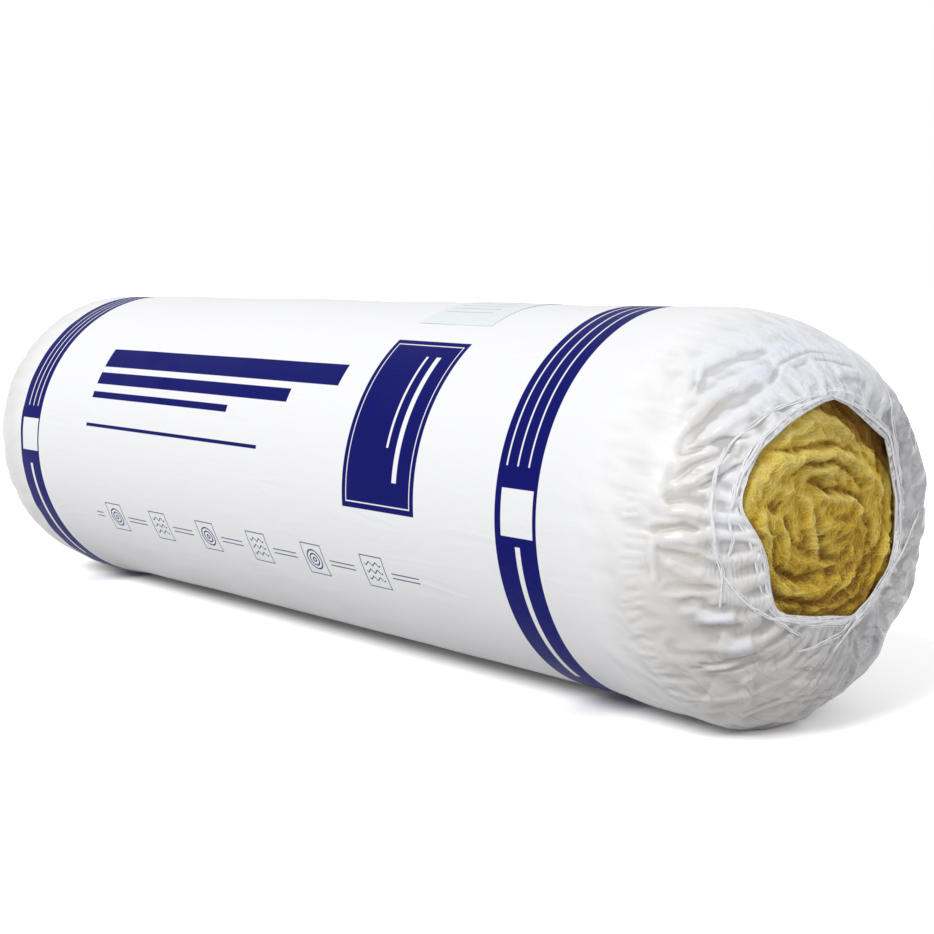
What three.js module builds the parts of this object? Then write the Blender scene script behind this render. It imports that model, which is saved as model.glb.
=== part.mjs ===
// Insulation roll: a glass wool mat wound on itself and pressed into a sleeve of thin film.
// The sleeve is longer than the mat. Its two ends are gathered in over the roll's soft
// shoulders, and each leaves an uneven mouth in which the turns of the mat show.
// Millimetres, +Z up. The roll lies along X on the plane z = 0, with the origin under its middle.

import * as THREE from 'three';
import { mergeVertices } from 'three/addons/utils/BufferGeometryUtils.js';

// Mat
const MAT_WIDTH = 1200; // the roll's length along its axis
const TURN_THICKNESS = 15.1; // one turn, as pressed in the roll
const TURNS = 12;
const CORE_PUSH_OUT = 6.5; // how far the inner turns stand out past the mat's edge
const GROOVE_DEPTH = 6; // between two turns, on an end
const CORE_DISH = 7; // how far the turns round the core lie behind it
const DISH_START = 2; // turns from the core, where the dish begins
const DISH_END = 5; // turns from the core, where it has its full depth
const SHOULDER_EASE = 1.035; // the mat's shoulders are this much longer than the film's

// Film
const FILM_THICKNESS = 0.8;
const SEAT_GAP = 0.3; // mat to film, and film to label
const HEM = 9; // flat edge round a mouth
const GATHER_HEIGHT = 1.8; // of a middling one
const GATHER_SPREAD = 0.4; // share by which gathers are higher or lower than the middle one
const GATHER_EASE = 0.9; // least height of the film over the mat, on a shoulder
const HEM_PRESS = 0.4; // share of a gather's height that is left at the mouth's edge

// A shoulder's length and depth are given at mid height, and each changes by its own lift
// from there up to the crown, and by as much the other way down to the floor.
// A mouth is a ring of corners, and a core is the point that the turns wind round on that end:
// both are across (along Y) and up from the roll's axis.
const FRONT_END = {
	side: 1,
	shoulderLength: 105,
	lengthLift: 28,
	shoulderDepth: 79,
	depthLift: - 11,
	roundness: 1.6,
	core: new THREE.Vector2( - 39, 13 ),
	mouth: [
		[ - 31, 108 ], [ 42, 71 ], [ 63, 6 ], [ 62, - 34 ], [ 36, - 58 ], [ 5, - 74 ],
		[ - 94, - 60 ], [ - 111, - 5 ], [ - 127, 25 ], [ - 114, 61 ], [ - 81, 89 ]
	]
};
const BACK_END = {
	side: - 1,
	shoulderLength: 92,
	lengthLift: - 25,
	shoulderDepth: 62,
	depthLift: 20,
	roundness: 2.1,
	core: new THREE.Vector2( - 4, 2 ),
	mouth: [
		[ - 18, 96 ], [ 52, 84 ], [ 94, 30 ], [ 88, - 42 ], [ 31, - 88 ],
		[ - 40, - 80 ], [ - 92, - 38 ], [ - 86, 44 ]
	]
};

// Label: a paper sheet, its long side round the roll
const LABEL_WIDTH = 105;
const LABEL_HEIGHT = 148;
const LABEL_THICKNESS = 0.4;
const LABEL_MIDDLE = 208; // along X
const LABEL_LOW_EDGE = THREE.MathUtils.degToRad( 117 ); // angle round the roll

// Facets
const FACETS_PER_GATHER = 4;
const GATHERS = 22;
const SHOULDER_RINGS = 8;
const RING_CROWDING = 1.2; // above 1, the rings of a shoulder crowd towards its rim
const FILM_FACETS = FACETS_PER_GATHER * GATHERS;
const MAT_FACETS = FILM_FACETS / 2;

// Sizes that follow
const MAT_RADIUS = TURN_THICKNESS * TURNS;
const MAT_END = MAT_WIDTH / 2 + CORE_PUSH_OUT;
const FILM_RADIUS = MAT_RADIUS + SEAT_GAP + FILM_THICKNESS;
const FILM_END = MAT_END + SEAT_GAP + FILM_THICKNESS;
const HALF_FACET = Math.PI / FILM_FACETS;
// The roll lies on one facet of the film.
const AXIS_HEIGHT = FILM_RADIUS * Math.cos( HALF_FACET );
const FIRST_ANGLE = - Math.PI / 2 + HALF_FACET;

// Angles run round the roll from +Y up to +Z.
function rollPoint( along, radius, angle ) {

	return new THREE.Vector3( along, radius * Math.cos( angle ), AXIS_HEIGHT + radius * Math.sin( angle ) );

}

// How far an end's surface lies back from its flat face, at a radius. inset is how far the
// surface lies inside the film's outside.
function setBack( end, radius, angle, inset ) {

	const length = end.shoulderLength + end.lengthLift * Math.sin( angle );
	const depth = end.shoulderDepth + end.depthLift * Math.sin( angle );
	const across = ( radius + inset - ( FILM_RADIUS - depth ) ) / depth;
	const part = THREE.MathUtils.clamp( across, 0, 1 );
	const power = end.roundness;
	return length * ( 1 - Math.pow( 1 - Math.pow( part, power ), 1 / power ) );

}

// Radius of a mouth's edge at an angle, where a ray from the axis meets the ring of corners.
function mouthRadius( end, angle ) {

	const ray = new THREE.Vector2( Math.cos( angle ), Math.sin( angle ) );
	const corners = end.mouth.map( ( corner ) => new THREE.Vector2( ...corner ) );
	for ( let i = 0; i < corners.length; i ++ ) {

		const from = corners[ i ];
		const edge = corners[ ( i + 1 ) % corners.length ].clone().sub( from );
		const turn = ray.cross( edge );
		const radius = from.cross( edge ) / turn;
		const share = from.cross( ray ) / turn;
		if ( radius > 0 && share >= 0 && share < 1 ) return radius;

	}

}

// Turns a flat ring of facets into a closed solid. place( row, angle ) gives each corner, and
// corners that meet become one.
function revolve( rows, facets, place ) {

	const profile = Array.from( { length: rows }, ( _, row ) => new THREE.Vector2( 1, row ) );
	const geometry = new THREE.LatheGeometry( profile, facets );
	const position = geometry.attributes.position;
	for ( let facet = 0; facet <= facets; facet ++ ) {

		for ( let row = 0; row < rows; row ++ ) {

			const point = place( row, facet / facets );
			position.setXYZ( facet * rows + row, point.x, point.y, point.z );

		}

	}

	return weld( geometry );

}

// Joins corners that lie in one place and drops the triangles that lose their area by it.
function weld( geometry ) {

	geometry.deleteAttribute( 'normal' );
	geometry.deleteAttribute( 'uv' );
	const welded = mergeVertices( geometry, 1e-3 );
	const index = welded.index.array;
	const kept = [];
	for ( let i = 0; i < index.length; i += 3 ) {

		const [ a, b, c ] = index.slice( i, i + 3 );
		if ( a !== b && b !== c && c !== a ) kept.push( a, b, c );

	}

	welded.setIndex( kept );
	welded.computeVertexNormals();
	return welded;

}

// ---- Mat

// The line between two turns, counted from the core. It winds out by one turn's thickness
// while it goes round once. The first one starts at the axis and the last one ends at the rim.
function turnLine( count, share ) {

	if ( count < 0 ) return 0;
	if ( count >= TURNS ) return MAT_RADIUS;
	return TURN_THICKNESS * ( count + share );

}

// Each turn is a low flat-topped ridge between two grooves.
const RIDGE = [ { across: 0, height: 0 }, { across: 0.3, height: 1 }, { across: 0.7, height: 1 } ];

// A point of an end, across and up from the roll's axis. The core sits off the axis, so the
// turns are thinner on its near side, and the last one is centred again.
function offCentre( core, fromCore, angle ) {

	const shift = core.clone().multiplyScalar( 1 - fromCore / MAT_RADIUS );
	return new THREE.Vector2( Math.cos( angle ), Math.sin( angle ) ).multiplyScalar( fromCore ).add( shift );

}

function matEndPoint( end, step, share ) {

	const strip = Math.floor( step / RIDGE.length );
	const { across, height } = RIDGE[ step % RIDGE.length ];
	const inner = turnLine( strip - 1, share );
	const width = turnLine( strip, share ) - inner;
	const fromCore = inner + width * across;
	const rimFade = Math.min( 1, ( MAT_RADIUS - fromCore ) / TURN_THICKNESS );
	const ridge = height * Math.min( 1, width / TURN_THICKNESS );
	const groove = GROOVE_DEPTH * rimFade * ( 1 - ridge );
	const dish = CORE_DISH * THREE.MathUtils.smoothstep( fromCore / TURN_THICKNESS, DISH_START, DISH_END );
	const place = offCentre( end.core, fromCore, FIRST_ANGLE + 2 * Math.PI * share );
	const inset = FILM_RADIUS - MAT_RADIUS;
	const shoulder = SHOULDER_EASE * setBack( end, place.length(), place.angle(), inset );
	const along = MAT_END - shoulder - groove - dish * rimFade;
	return new THREE.Vector3( end.side * along, place.x, AXIS_HEIGHT + place.y );

}

function buildMat() {

	const endRows = ( TURNS + 1 ) * RIDGE.length + 1;
	return revolve( 2 * endRows, MAT_FACETS, ( row, share ) => {

		if ( row < endRows ) return matEndPoint( BACK_END, row, share );
		return matEndPoint( FRONT_END, 2 * endRows - 1 - row, share );

	} );

}

// ---- Film

// Flat-topped waves round the roll. Steps of the golden angle give each its own height.
const GOLDEN_ANGLE = Math.PI * ( 3 - Math.sqrt( 5 ) );

function gatherHeight( end, facet ) {

	const gather = Math.floor( facet / FACETS_PER_GATHER ) % GATHERS;
	const onTop = facet % FACETS_PER_GATHER >= FACETS_PER_GATHER / 2;
	const own = 1 + GATHER_SPREAD * Math.cos( GOLDEN_ANGLE * gather + end.side );
	return onTop ? GATHER_HEIGHT * own : 0;

}

// One ring of the film on an end: ring 0 is where the shoulder starts, and the last one is the
// mouth's edge. inset is 0 for the outside and the film's thickness for the inside.
function filmEndPoint( end, ring, facet, inset ) {

	const angle = FIRST_ANGLE + 2 * Math.PI * facet / FILM_FACETS;
	const mouth = mouthRadius( end, angle );
	const turn = Math.pow( Math.min( 1, ring / SHOULDER_RINGS ), RING_CROWDING ) * Math.PI / 2;
	const hemRadius = mouth + HEM;
	const onHem = ring > SHOULDER_RINGS;
	const radius = onHem ? mouth : FILM_RADIUS - ( FILM_RADIUS - hemRadius ) * ( 1 - Math.cos( turn ) );
	const rise = Math.sin( turn );
	const fall = onHem ? HEM_PRESS : 1;
	const lift = rise * ( GATHER_EASE + fall * gatherHeight( end, facet % FILM_FACETS ) ) - inset;
	const along = FILM_END - setBack( end, radius, angle, 0 ) + lift * Math.sin( turn );
	return rollPoint( end.side * along, radius + lift * Math.cos( turn ), angle );

}

function buildFilm() {

	const endRings = SHOULDER_RINGS + 2;
	const wallRings = 2 * endRings;
	// Outside from the back mouth to the front one, then inside the same way back, and closed.
	return revolve( 2 * wallRings + 1, FILM_FACETS, ( row, share ) => {

		const facet = Math.round( share * FILM_FACETS );
		const step = row % ( 2 * wallRings );
		const inside = step >= wallRings;
		const inset = inside ? FILM_THICKNESS : 0;
		const way = inside ? 2 * wallRings - 1 - step : step;
		if ( way < endRings ) return filmEndPoint( BACK_END, endRings - 1 - way, facet, inset );
		return filmEndPoint( FRONT_END, way - endRings, facet, inset );

	} );

}

// ---- Label

// A thin sheet bent over the film's facets.
function buildLabel() {

	const facetAngle = 2 * HALF_FACET;
	const lastAngle = LABEL_LOW_EDGE - LABEL_HEIGHT / FILM_RADIUS;
	const angles = [ LABEL_LOW_EDGE ];
	let corner = Math.ceil( ( LABEL_LOW_EDGE - FIRST_ANGLE ) / facetAngle ) - 1;
	while ( FIRST_ANGLE + corner * facetAngle > lastAngle ) {

		angles.push( FIRST_ANGLE + corner * facetAngle );
		corner --;

	}

	angles.push( lastAngle );
	const geometry = new THREE.BoxGeometry( LABEL_WIDTH, 1, 1, 1, angles.length - 1, 1 );
	const position = geometry.attributes.position;
	for ( let i = 0; i < position.count; i ++ ) {

		const order = Math.round( ( position.getY( i ) + 0.5 ) * ( angles.length - 1 ) );
		const angle = angles[ order ];
		const fromCorner = ( angle - FIRST_ANGLE ) % facetAngle;
		const flat = FILM_RADIUS * Math.cos( HALF_FACET ) / Math.cos( fromCorner - HALF_FACET );
		const rise = SEAT_GAP + ( position.getZ( i ) > 0 ? LABEL_THICKNESS : 0 );
		const point = rollPoint( LABEL_MIDDLE + position.getX( i ), flat + rise, angle );
		position.setXYZ( i, point.x, point.y, point.z );

	}

	return weld( geometry );

}

// ---- Assembly

const wool = new THREE.MeshStandardMaterial( { color: 0xc9a73a, roughness: 1, metalness: 0 } );
const film = new THREE.MeshStandardMaterial( { color: 0xe9e9ee, roughness: 0.3, metalness: 0 } );
const paper = new THREE.MeshStandardMaterial( { color: 0xc4cbcb, roughness: 0.7, metalness: 0 } );

const roll = new THREE.Group();

function addPiece( name, geometry, material ) {

	const mesh = new THREE.Mesh( geometry, material );
	mesh.name = name;
	roll.add( mesh );

}

addPiece( 'wool_roll', buildMat(), wool );
addPiece( 'film_sleeve', buildFilm(), film );
addPiece( 'label', buildLabel(), paper );

export default roll;
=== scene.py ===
# %% [markdown]
# # A roll of glass wool in a film sleeve
# The roll is one long mat of glass wool, wound on itself and pressed into a sleeve of thin
# white film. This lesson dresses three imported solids: the film, the wool and a paper label.
# All making is done in millimetres, and each mesh is written in metres.

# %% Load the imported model
import math

import bpy
import numpy as np
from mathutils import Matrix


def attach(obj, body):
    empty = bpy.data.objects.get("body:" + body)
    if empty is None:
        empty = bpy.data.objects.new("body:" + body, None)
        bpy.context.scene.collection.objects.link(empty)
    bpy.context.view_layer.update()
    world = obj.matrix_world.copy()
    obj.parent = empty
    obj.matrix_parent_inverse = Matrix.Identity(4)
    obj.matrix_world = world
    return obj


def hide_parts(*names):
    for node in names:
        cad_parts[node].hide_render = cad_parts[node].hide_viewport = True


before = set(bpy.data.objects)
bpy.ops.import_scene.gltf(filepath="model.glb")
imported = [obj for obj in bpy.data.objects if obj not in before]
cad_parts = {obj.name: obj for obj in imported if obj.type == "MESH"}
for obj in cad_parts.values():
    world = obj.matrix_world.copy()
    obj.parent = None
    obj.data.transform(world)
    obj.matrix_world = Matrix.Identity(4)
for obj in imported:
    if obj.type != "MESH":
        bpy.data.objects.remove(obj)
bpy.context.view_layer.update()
print("packed nodes:", sorted(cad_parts))

# %% [markdown]
# The camera stands low, off the roll's front end, with a lens long enough to keep the far
# end from shrinking too much. A camera can also be aimed by a constraint, but plain numbers
# give the same view in every run.

# %% Camera
CAMERA_PLACE = (1.3907, -1.1346, 0.3939)
CAMERA_TURN = (1.452367, 0.0, 0.835975)
LENS = 62.95
SENSOR = 36.0

camera_data = bpy.data.cameras.new("camera")
camera_data.lens = LENS
camera_data.sensor_width = SENSOR
camera = bpy.data.objects.new("camera", camera_data)
camera.location = CAMERA_PLACE
camera.rotation_euler = CAMERA_TURN
bpy.context.scene.collection.objects.link(camera)
bpy.context.scene.camera = camera
print("camera at", CAMERA_PLACE, "with a lens of", LENS, "mm")

# %% [markdown]
# The film, the wool and the label are modelled finer than their solids but on the same sizes,
# so those are repeated here in millimetres. Each end has a soft shoulder and a mouth, which is
# a ring of corners given across and up from the roll's axis. Angles run round the roll from
# its front side (-Y) up over the crown (+Z).

# %% Sizes of the roll
FILM_END = 607.6        # the flat of an end, along X
FILM_RADIUS = 182.3     # an end bag
BODY_RADIUS = 180.0     # the taut middle
BAG_AXIS = 182.2        # height of the axis above the floor
BODY_AXIS = 183.7
TAUT_TO = 418.0         # along X, where the film starts to loosen
LOOSE_FROM = 462.0      # and where it is a bag
TURN_THICKNESS = 15.1
FLOOR_CLEAR = 0.1

FRONT_END = {
    "side": 1, "length": 105.0, "length_lift": 28.0, "depth": 79.0, "depth_lift": -11.0,
    "roundness": 1.6, "start": 470.0, "radius": FILM_RADIUS, "axis": BAG_AXIS, "waver": 1.0,
    "core": (-39.0, 13.0),
    "mouth": [(-38, 107), (-24, 109), (-5, 103), (20, 89), (50, 72), (58, 51), (69, 19), (70, -19),
              (62, -40), (36, -61), (11, -74), (-42, -68), (-80, -61), (-93, -55), (-101, -36),
              (-111, -5), (-117, 7), (-129, 27), (-121, 50), (-107, 73), (-79, 92), (-60, 100)],
}
BACK_END = {
    "side": -1, "length": 92.0, "length_lift": -25.0, "depth": 62.0, "depth_lift": 20.0,
    "roundness": 2.1, "start": 484.0, "radius": 181.2, "axis": 181.6, "waver": 6.0,
    "core": (-4.0, 2.0),
    "mouth": [(-18, 96), (52, 84), (94, 30), (88, -42), (31, -88), (-40, -80), (-92, -38),
              (-86, 44)],
}
print("the roll is", 2 * FILM_END, "mm long and", 2 * FILM_RADIUS, "mm thick at its ends")

# %% [markdown]
# Thin film and loose wool are never even. All their unevenness below comes from one smooth
# noise, which turns a place into a number and gives the same numbers in every run. Blender's
# own noise takes one point at a time, and numpy takes a whole grid at once.

# %% Helpers for smooth steps and noise


def smoothstep(value, low, high):
    """0 at low and 1 at high, with a soft start and end."""
    part = np.clip((value - low) / (high - low), 0.0, 1.0)
    return part * part * (3.0 - 2.0 * part)


def corner_noise(corners, seed):
    """A repeatable number from -1 to 1 for each corner of a lattice."""
    c = corners.astype(np.int64)
    h = c[..., 0] * 374761393 + c[..., 1] * 668265263 + c[..., 2] * 1274126177 + seed * 974711
    h = (h ^ (h >> 13)) * 1103515245 & 0x7FFFFFFF
    h = (h ^ (h >> 16)) * 668265263 & 0x7FFFFFFF
    return (h ^ (h >> 15)) % 65536 / 32767.5 - 1.0


def noise(points, seed):
    """Smooth noise from -1 to 1 with features about one unit wide."""
    low = np.floor(points)
    part = points - low
    part = part * part * part * (part * (part * 6.0 - 15.0) + 10.0)
    total = 0.0
    for corner in range(8):
        step = np.array([corner & 1, corner >> 1 & 1, corner >> 2 & 1])
        weight = np.prod(np.where(step == 1, part, 1.0 - part), axis=-1)
        total = total + weight * corner_noise(low + step, seed)
    return total


def cloudy(points, seed, octaves=3, fall=0.5):
    """Noise with smaller and weaker noise added to it."""
    total = 0.0
    size = 1.0
    for octave in range(octaves):
        total = total + size * noise(points * 2.0 ** octave, seed + octave)
        size *= fall
    return total


def stack(*columns):
    """Joins grids of single numbers into one grid of points."""
    return np.stack(np.broadcast_arrays(*columns), axis=-1)


print("noise at one place:", noise(np.array([[0.3, 0.6, 0.1]]), 1).round(3))

# %% [markdown]
# The film is taut over the middle of the roll and a little wider and lower at its ends. Even
# where it is taut, it follows long shallow waves of the wool below.

# %% The middle's shape
BODY_WAVE = 0.9         # height of the waves
WAVE_LENGTH = 130.0


def from_body_to_bag(along, body, name):
    """A size that changes from the taut middle to the looser bag of either end."""
    bag = np.where(along > 0, FRONT_END[name], BACK_END[name])
    return body + (bag - body) * smoothstep(np.abs(along), TAUT_TO, LOOSE_FROM)


def roll_radius(along):
    """The film's radius at a place along X."""
    return from_body_to_bag(along, BODY_RADIUS, "radius")


def roll_axis(along):
    """The axis's height at a place along X."""
    return from_body_to_bag(along, BODY_AXIS, "axis")


def body_wave(along, angle):
    """Long shallow waves of the film over the middle of the roll, in millimetres."""
    place = stack(along / WAVE_LENGTH, 1.4 * np.cos(angle), 1.4 * np.sin(angle))
    inside = smoothstep(along, -484.0, -420.0) * smoothstep(along, 468.0, 400.0)
    return BODY_WAVE * inside * cloudy(place, 77, 2, 0.6)


print("radius at the middle and both ends:", roll_radius(np.array([0.0, 500.0, -500.0])))

# %% [markdown]
# A mouth is where the film stops. It isn't round: the film hangs in straight pulls between a
# few corners, so a ray from the axis is met with the ring of corners. A shoulder falls back
# from the end's flat as the rim of a cushion does, and it is longer where the wool was pressed
# harder. Both could be sculpted, but as formulas they also give the wool its shape later.

# %% One mouth and one shoulder


def mouth_radius(end, angle):
    """Where a ray from the axis meets the ring of corners round a mouth."""
    ray = stack(-np.cos(angle), np.sin(angle))
    found = np.zeros_like(angle)
    corners = np.array(end["mouth"], float)
    for here, there in zip(corners, np.roll(corners, -1, axis=0)):
        edge = there - here
        turn = ray[..., 0] * edge[1] - ray[..., 1] * edge[0]
        radius = (here[0] * edge[1] - here[1] * edge[0]) / turn
        share = (here[0] * ray[..., 1] - here[1] * ray[..., 0]) / turn
        found = np.where((radius > 0) & (share >= 0) & (share < 1), radius, found)
    wave = noise(stack(2.5 * ray[..., 0], 2.5 * ray[..., 1], 0.0), 17)
    return found + end["waver"] * wave


def set_back(end, radius, angle):
    """How far a shoulder lies back from the end's flat, at a radius."""
    length = end["length"] + end["length_lift"] * np.sin(angle)
    depth = end["depth"] + end["depth_lift"] * np.sin(angle)
    part = np.clip((radius - (FILM_RADIUS - depth)) / depth, 0.0, 1.0)
    power = end["roundness"]
    return length * (1.0 - (1.0 - part ** power) ** (1.0 / power))


print("front mouth, low, left and high:",
      mouth_radius(FRONT_END, np.radians([-90.0, 0.0, 90.0])).round(1), "mm from the axis")

# %% [markdown]
# Film has a length, and a profile has to be walked to know it. So each direction's profile,
# from the body over the shoulder to the mouth, is cut into equal steps of film. A turned shape
# with even steps of radius would crowd the grid on the flat and stretch it on the shoulder.

# %% Profiles in equal steps of film
PROFILE_POINTS = 240


def meridians(end, rows, directions=720):
    """Along and radius of equal steps from the body to the mouth, for each direction."""
    angle = np.linspace(-np.pi, np.pi, directions, endpoint=False)
    mouth = mouth_radius(end, angle)
    bend = np.linspace(0.0, np.pi / 2, PROFILE_POINTS)[:, None]
    radius = FILM_RADIUS - (FILM_RADIUS - mouth) * (1.0 - np.cos(bend))
    along = FILM_END - set_back(end, radius, angle)
    radius = np.vstack([np.full((1, directions), FILM_RADIUS), radius])
    along = np.vstack([np.full((1, directions), end["start"]), along])
    steps = np.hypot(np.diff(along, axis=0), np.diff(radius, axis=0))
    reach = np.vstack([np.zeros((1, directions)), np.cumsum(steps, axis=0)])
    out_along = np.zeros((rows, directions))
    out_radius = np.zeros((rows, directions))
    for k in range(directions):
        want = np.linspace(0.0, reach[-1, k], rows)
        out_along[:, k] = np.interp(want, reach[:, k], along[:, k])
        out_radius[:, k] = np.interp(want, reach[:, k], radius[:, k])
    return angle, out_along, out_radius


mouths = meridians(FRONT_END, 3)[2][-1]
print("the front mouth lies", mouths.min().round(1), "to", mouths.max().round(1), "mm from the axis")

# %% [markdown]
# Lines of film run straight along the body, and near a mouth they are dragged aside to its
# corners. A list of pairs says which direction on the body ends at which direction of the
# mouth, and the grid's columns follow it, so that later the pleats follow it too.

# %% A grid over one end


def swept_angle(angle, share, pulls):
    """Film lines leave the body straight and are pulled aside to the mouth's corners."""
    start = np.radians([pair[0] for pair in pulls])
    moved = np.radians([pair[1] for pair in pulls]) - start
    start = np.concatenate([start - 2 * np.pi, start, start + 2 * np.pi])
    pull = np.interp(angle, start, np.tile(moved, 3))
    return angle + smoothstep(share, 0.1, 1.15) * pull / smoothstep(1.0, 0.1, 1.15)


def base_surface(end, rows, columns, pulls):
    """Points of a smooth end, and the angle that each of them lies at."""
    directions, along_table, radius_table = meridians(end, rows)
    share = np.linspace(0.0, 1.0, rows)[:, None]
    angle = np.linspace(-np.pi, np.pi, columns, endpoint=False)[None, :]
    swept = swept_angle(angle, share, pulls)
    along = np.zeros((rows, columns))
    radius = np.zeros((rows, columns))
    for row in range(rows):
        where = (swept[row] + np.pi) % (2 * np.pi) - np.pi
        along[row] = np.interp(where, directions, along_table[row], period=2 * np.pi)
        radius[row] = np.interp(where, directions, radius_table[row], period=2 * np.pi)
    along = end["side"] * along
    radius = radius * roll_radius(along) / FILM_RADIUS
    height = roll_axis(along) + radius * np.sin(swept)
    points = stack(along, -radius * np.cos(swept), height)
    return points, swept


def outward(points, side):
    """Normals of a grid that is closed round its columns."""
    down = np.gradient(points, axis=0)
    across = np.roll(points, -1, axis=1) - np.roll(points, 1, axis=1)
    normal = np.cross(down, across) * side
    return normal / np.linalg.norm(normal, axis=-1, keepdims=True)


def reach_along(base):
    """Length of film from the body to each point of an end, in millimetres."""
    steps = np.linalg.norm(np.diff(base, axis=0), axis=2)
    return np.vstack([np.zeros((1, base.shape[1])), np.cumsum(steps, axis=0)])


lengths = reach_along(base_surface(FRONT_END, 30, 60, [(-180, -180), (0, 0)])[0])[-1]
print("film from body to mouth:", lengths.min().round(), "to", lengths.max().round(), "mm")

# %% [markdown]
# The sleeve's ends are where the film shows what it is. A tube of film is pulled in over a
# round shoulder, so it has too much width there, and the spare width stands up in pleats.
# Drawing pleats by hand looks drawn. Here the film finds them itself: each point of a fine
# grid is tied to its neighbours by the lengths that the film was cut to, and the grid settles
# on the wool in many small passes, first coarse and then fine. Blender's Cloth could do it
# too, but pleats of a few millimetres on a piece this long need more points than it takes.

# %% The film's ties to its neighbours
SQUEEZE = 0.85          # how firmly a tie holds against being shortened
SLANT_HOLD = 0.5
SLANT_SQUEEZE = 0.4


def pull_together(first, second, rest, hold, squeeze):
    """Half of the move that brings each pair of points back to its cut length."""
    gap = second - first
    length = np.sqrt((gap * gap).sum(-1)) + 1e-9
    wrong = (length - rest) / length
    wrong = np.where(wrong > 0, hold, squeeze) * wrong
    return 0.5 * wrong[..., None] * gap


def one_pass(points, rests, soft):
    """The move of every point that its ties ask for."""
    move = np.zeros_like(points)
    right = np.roll(points, -1, axis=1)
    step = pull_together(points, right, rests["across"], 1.0, SQUEEZE)
    move += step
    move -= np.roll(step, 1, axis=1)
    step = pull_together(points[:-1], points[1:], rests["down"], 1.0, SQUEEZE)
    move[:-1] += step
    move[1:] -= step
    step = pull_together(points[:-1], right[1:], rests["slant"], SLANT_HOLD, SLANT_SQUEEZE)
    move[:-1] += step
    move[1:] -= np.roll(step, 1, axis=1)
    step = pull_together(right[:-1], points[1:], rests["counter"], SLANT_HOLD, SLANT_SQUEEZE)
    move[:-1] += np.roll(step, 1, axis=1)
    move[1:] -= step
    far = np.roll(points, -2, axis=1)
    step = pull_together(points, far, rests["bend"], 0.0, soft)
    move += step
    move -= np.roll(step, 2, axis=1)
    return move


def cut_lengths(base, across_ratio, down_ratio):
    """The length that each tie was cut to, from the smooth shape and the spare film."""
    right = np.roll(base, -1, axis=1) - base
    down = base[1:] - base[:-1]
    across = np.linalg.norm(right, axis=-1)
    length = np.linalg.norm(down, axis=-1)
    slope = (right[:-1] * down).sum(-1) / (across[:-1] * length)
    across = across * across_ratio
    length = length * down_ratio[:-1]
    wide = across[:-1]
    return {
        "across": across,
        "down": length,
        "slant": np.sqrt(wide ** 2 + length ** 2 + 2 * wide * length * slope),
        "counter": np.sqrt(wide ** 2 + length ** 2 - 2 * wide * length * slope),
        "bend": 2 * across,
    }


move = pull_together(np.zeros(3), np.array([1.1, 0.0, 0.0]), 1.0, 1.0, SQUEEZE)
print("each end of a tie that is 10% too long moves", move[0].round(3))

# %% [markdown]
# A grid that starts fine finds only small pleats, because a wide one takes many points that
# move together. So a quarter of the grid settles first, its moves are spread over a grid
# twice as fine, and so on. A faint ripple at the start gives the pleats something to grow from.

# %% From a coarse grid to a fine one
RIPPLE_HEIGHT = 0.35


def finer(values, rows, columns):
    """Spreads a grid of moves over a finer grid."""
    old_rows, old_columns = values.shape[:2]
    at_row = np.linspace(0, old_rows - 1, rows)
    low = np.minimum(at_row.astype(int), old_rows - 2)
    part = (at_row - low)[:, None, None]
    tall = values[low] * (1 - part) + values[low + 1] * part
    at_column = np.arange(columns) * old_columns / columns
    low = at_column.astype(int)
    part = (at_column - low)[None, :, None]
    return tall[:, low] * (1 - part) + tall[:, (low + 1) % old_columns] * part


def first_ripple(rows, columns, seed):
    """A faint ripple, longer down the film than across it, that the pleats grow from."""
    row = np.linspace(0, 1, rows)[:, None]
    turn = np.linspace(0, 2 * np.pi, columns, endpoint=False)[None, :]
    waves = columns / 4 / (2 * np.pi)
    ripple = noise(stack(waves * np.cos(turn), waves * np.sin(turn), 6.0 * row), seed)
    return ripple * smoothstep(row, 0.0, 0.12) * (1 - smoothstep(row, 0.93, 1.0))


print("first ripple, highest:", (RIPPLE_HEIGHT * first_ripple(40, 200, 1)).max().round(2), "mm")

# %% [markdown]
# In each pass the ties pull, the points carry on a little in the way they were going, and
# then each point is held between the wool below it and a highest pleat. The first row stays
# on the body and the last one on the mouth.

# %% The film settles
LEVELS = ((4, 200, 0.55), (2, 160, 0.85), (1, 160, 1.0))    # every nth point, passes, spare
CARRY_ON = 0.85
PULL = 0.55
BEND_SOFTNESS = 0.25
HIGHEST = 5.0
DEEPEST = 1.0


def settle(base, side, across_ratio, down_ratio, seed):
    """The settled film, from its smooth shape and how much wider and longer it was cut."""
    moved = np.zeros_like(base[::4, ::4])
    for level, passes, share in LEVELS:
        ground = base[::level, ::level]
        normal = outward(ground, side)
        spare = 1 + (across_ratio[::level, ::level] - 1) * share
        slack = 1 + (down_ratio[::level, ::level] - 1) * share
        rests = cut_lengths(ground, spare, slack)
        rows, columns = ground.shape[:2]
        ripple = RIPPLE_HEIGHT * level * first_ripple(rows, columns, seed + level)
        points = ground + finer(moved, rows, columns) + ripple[..., None] * normal
        before = points.copy()
        for _ in range(passes):
            speed = CARRY_ON * (points - before)
            before = points
            points = points + PULL * one_pass(points, rests, BEND_SOFTNESS) + speed
            lift = ((points - ground) * normal).sum(-1)
            wanted = np.clip(lift, -DEEPEST, HIGHEST)
            points = points + (wanted - lift)[..., None] * normal
            points[..., 2] = np.maximum(points[..., 2], FLOOR_CLEAR)
            points[0] = ground[0]
            points[-1] = ground[-1]
        moved = points - ground
    return base + moved


print("passes at the full grid:", LEVELS[-1][1])

# %% [markdown]
# How much film is spare decides how deep the pleats get, and it isn't the same all round:
# film was drawn hard to one side of the mouth and left loose on the other. Each zone makes
# the film wider or longer near one place.

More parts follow.
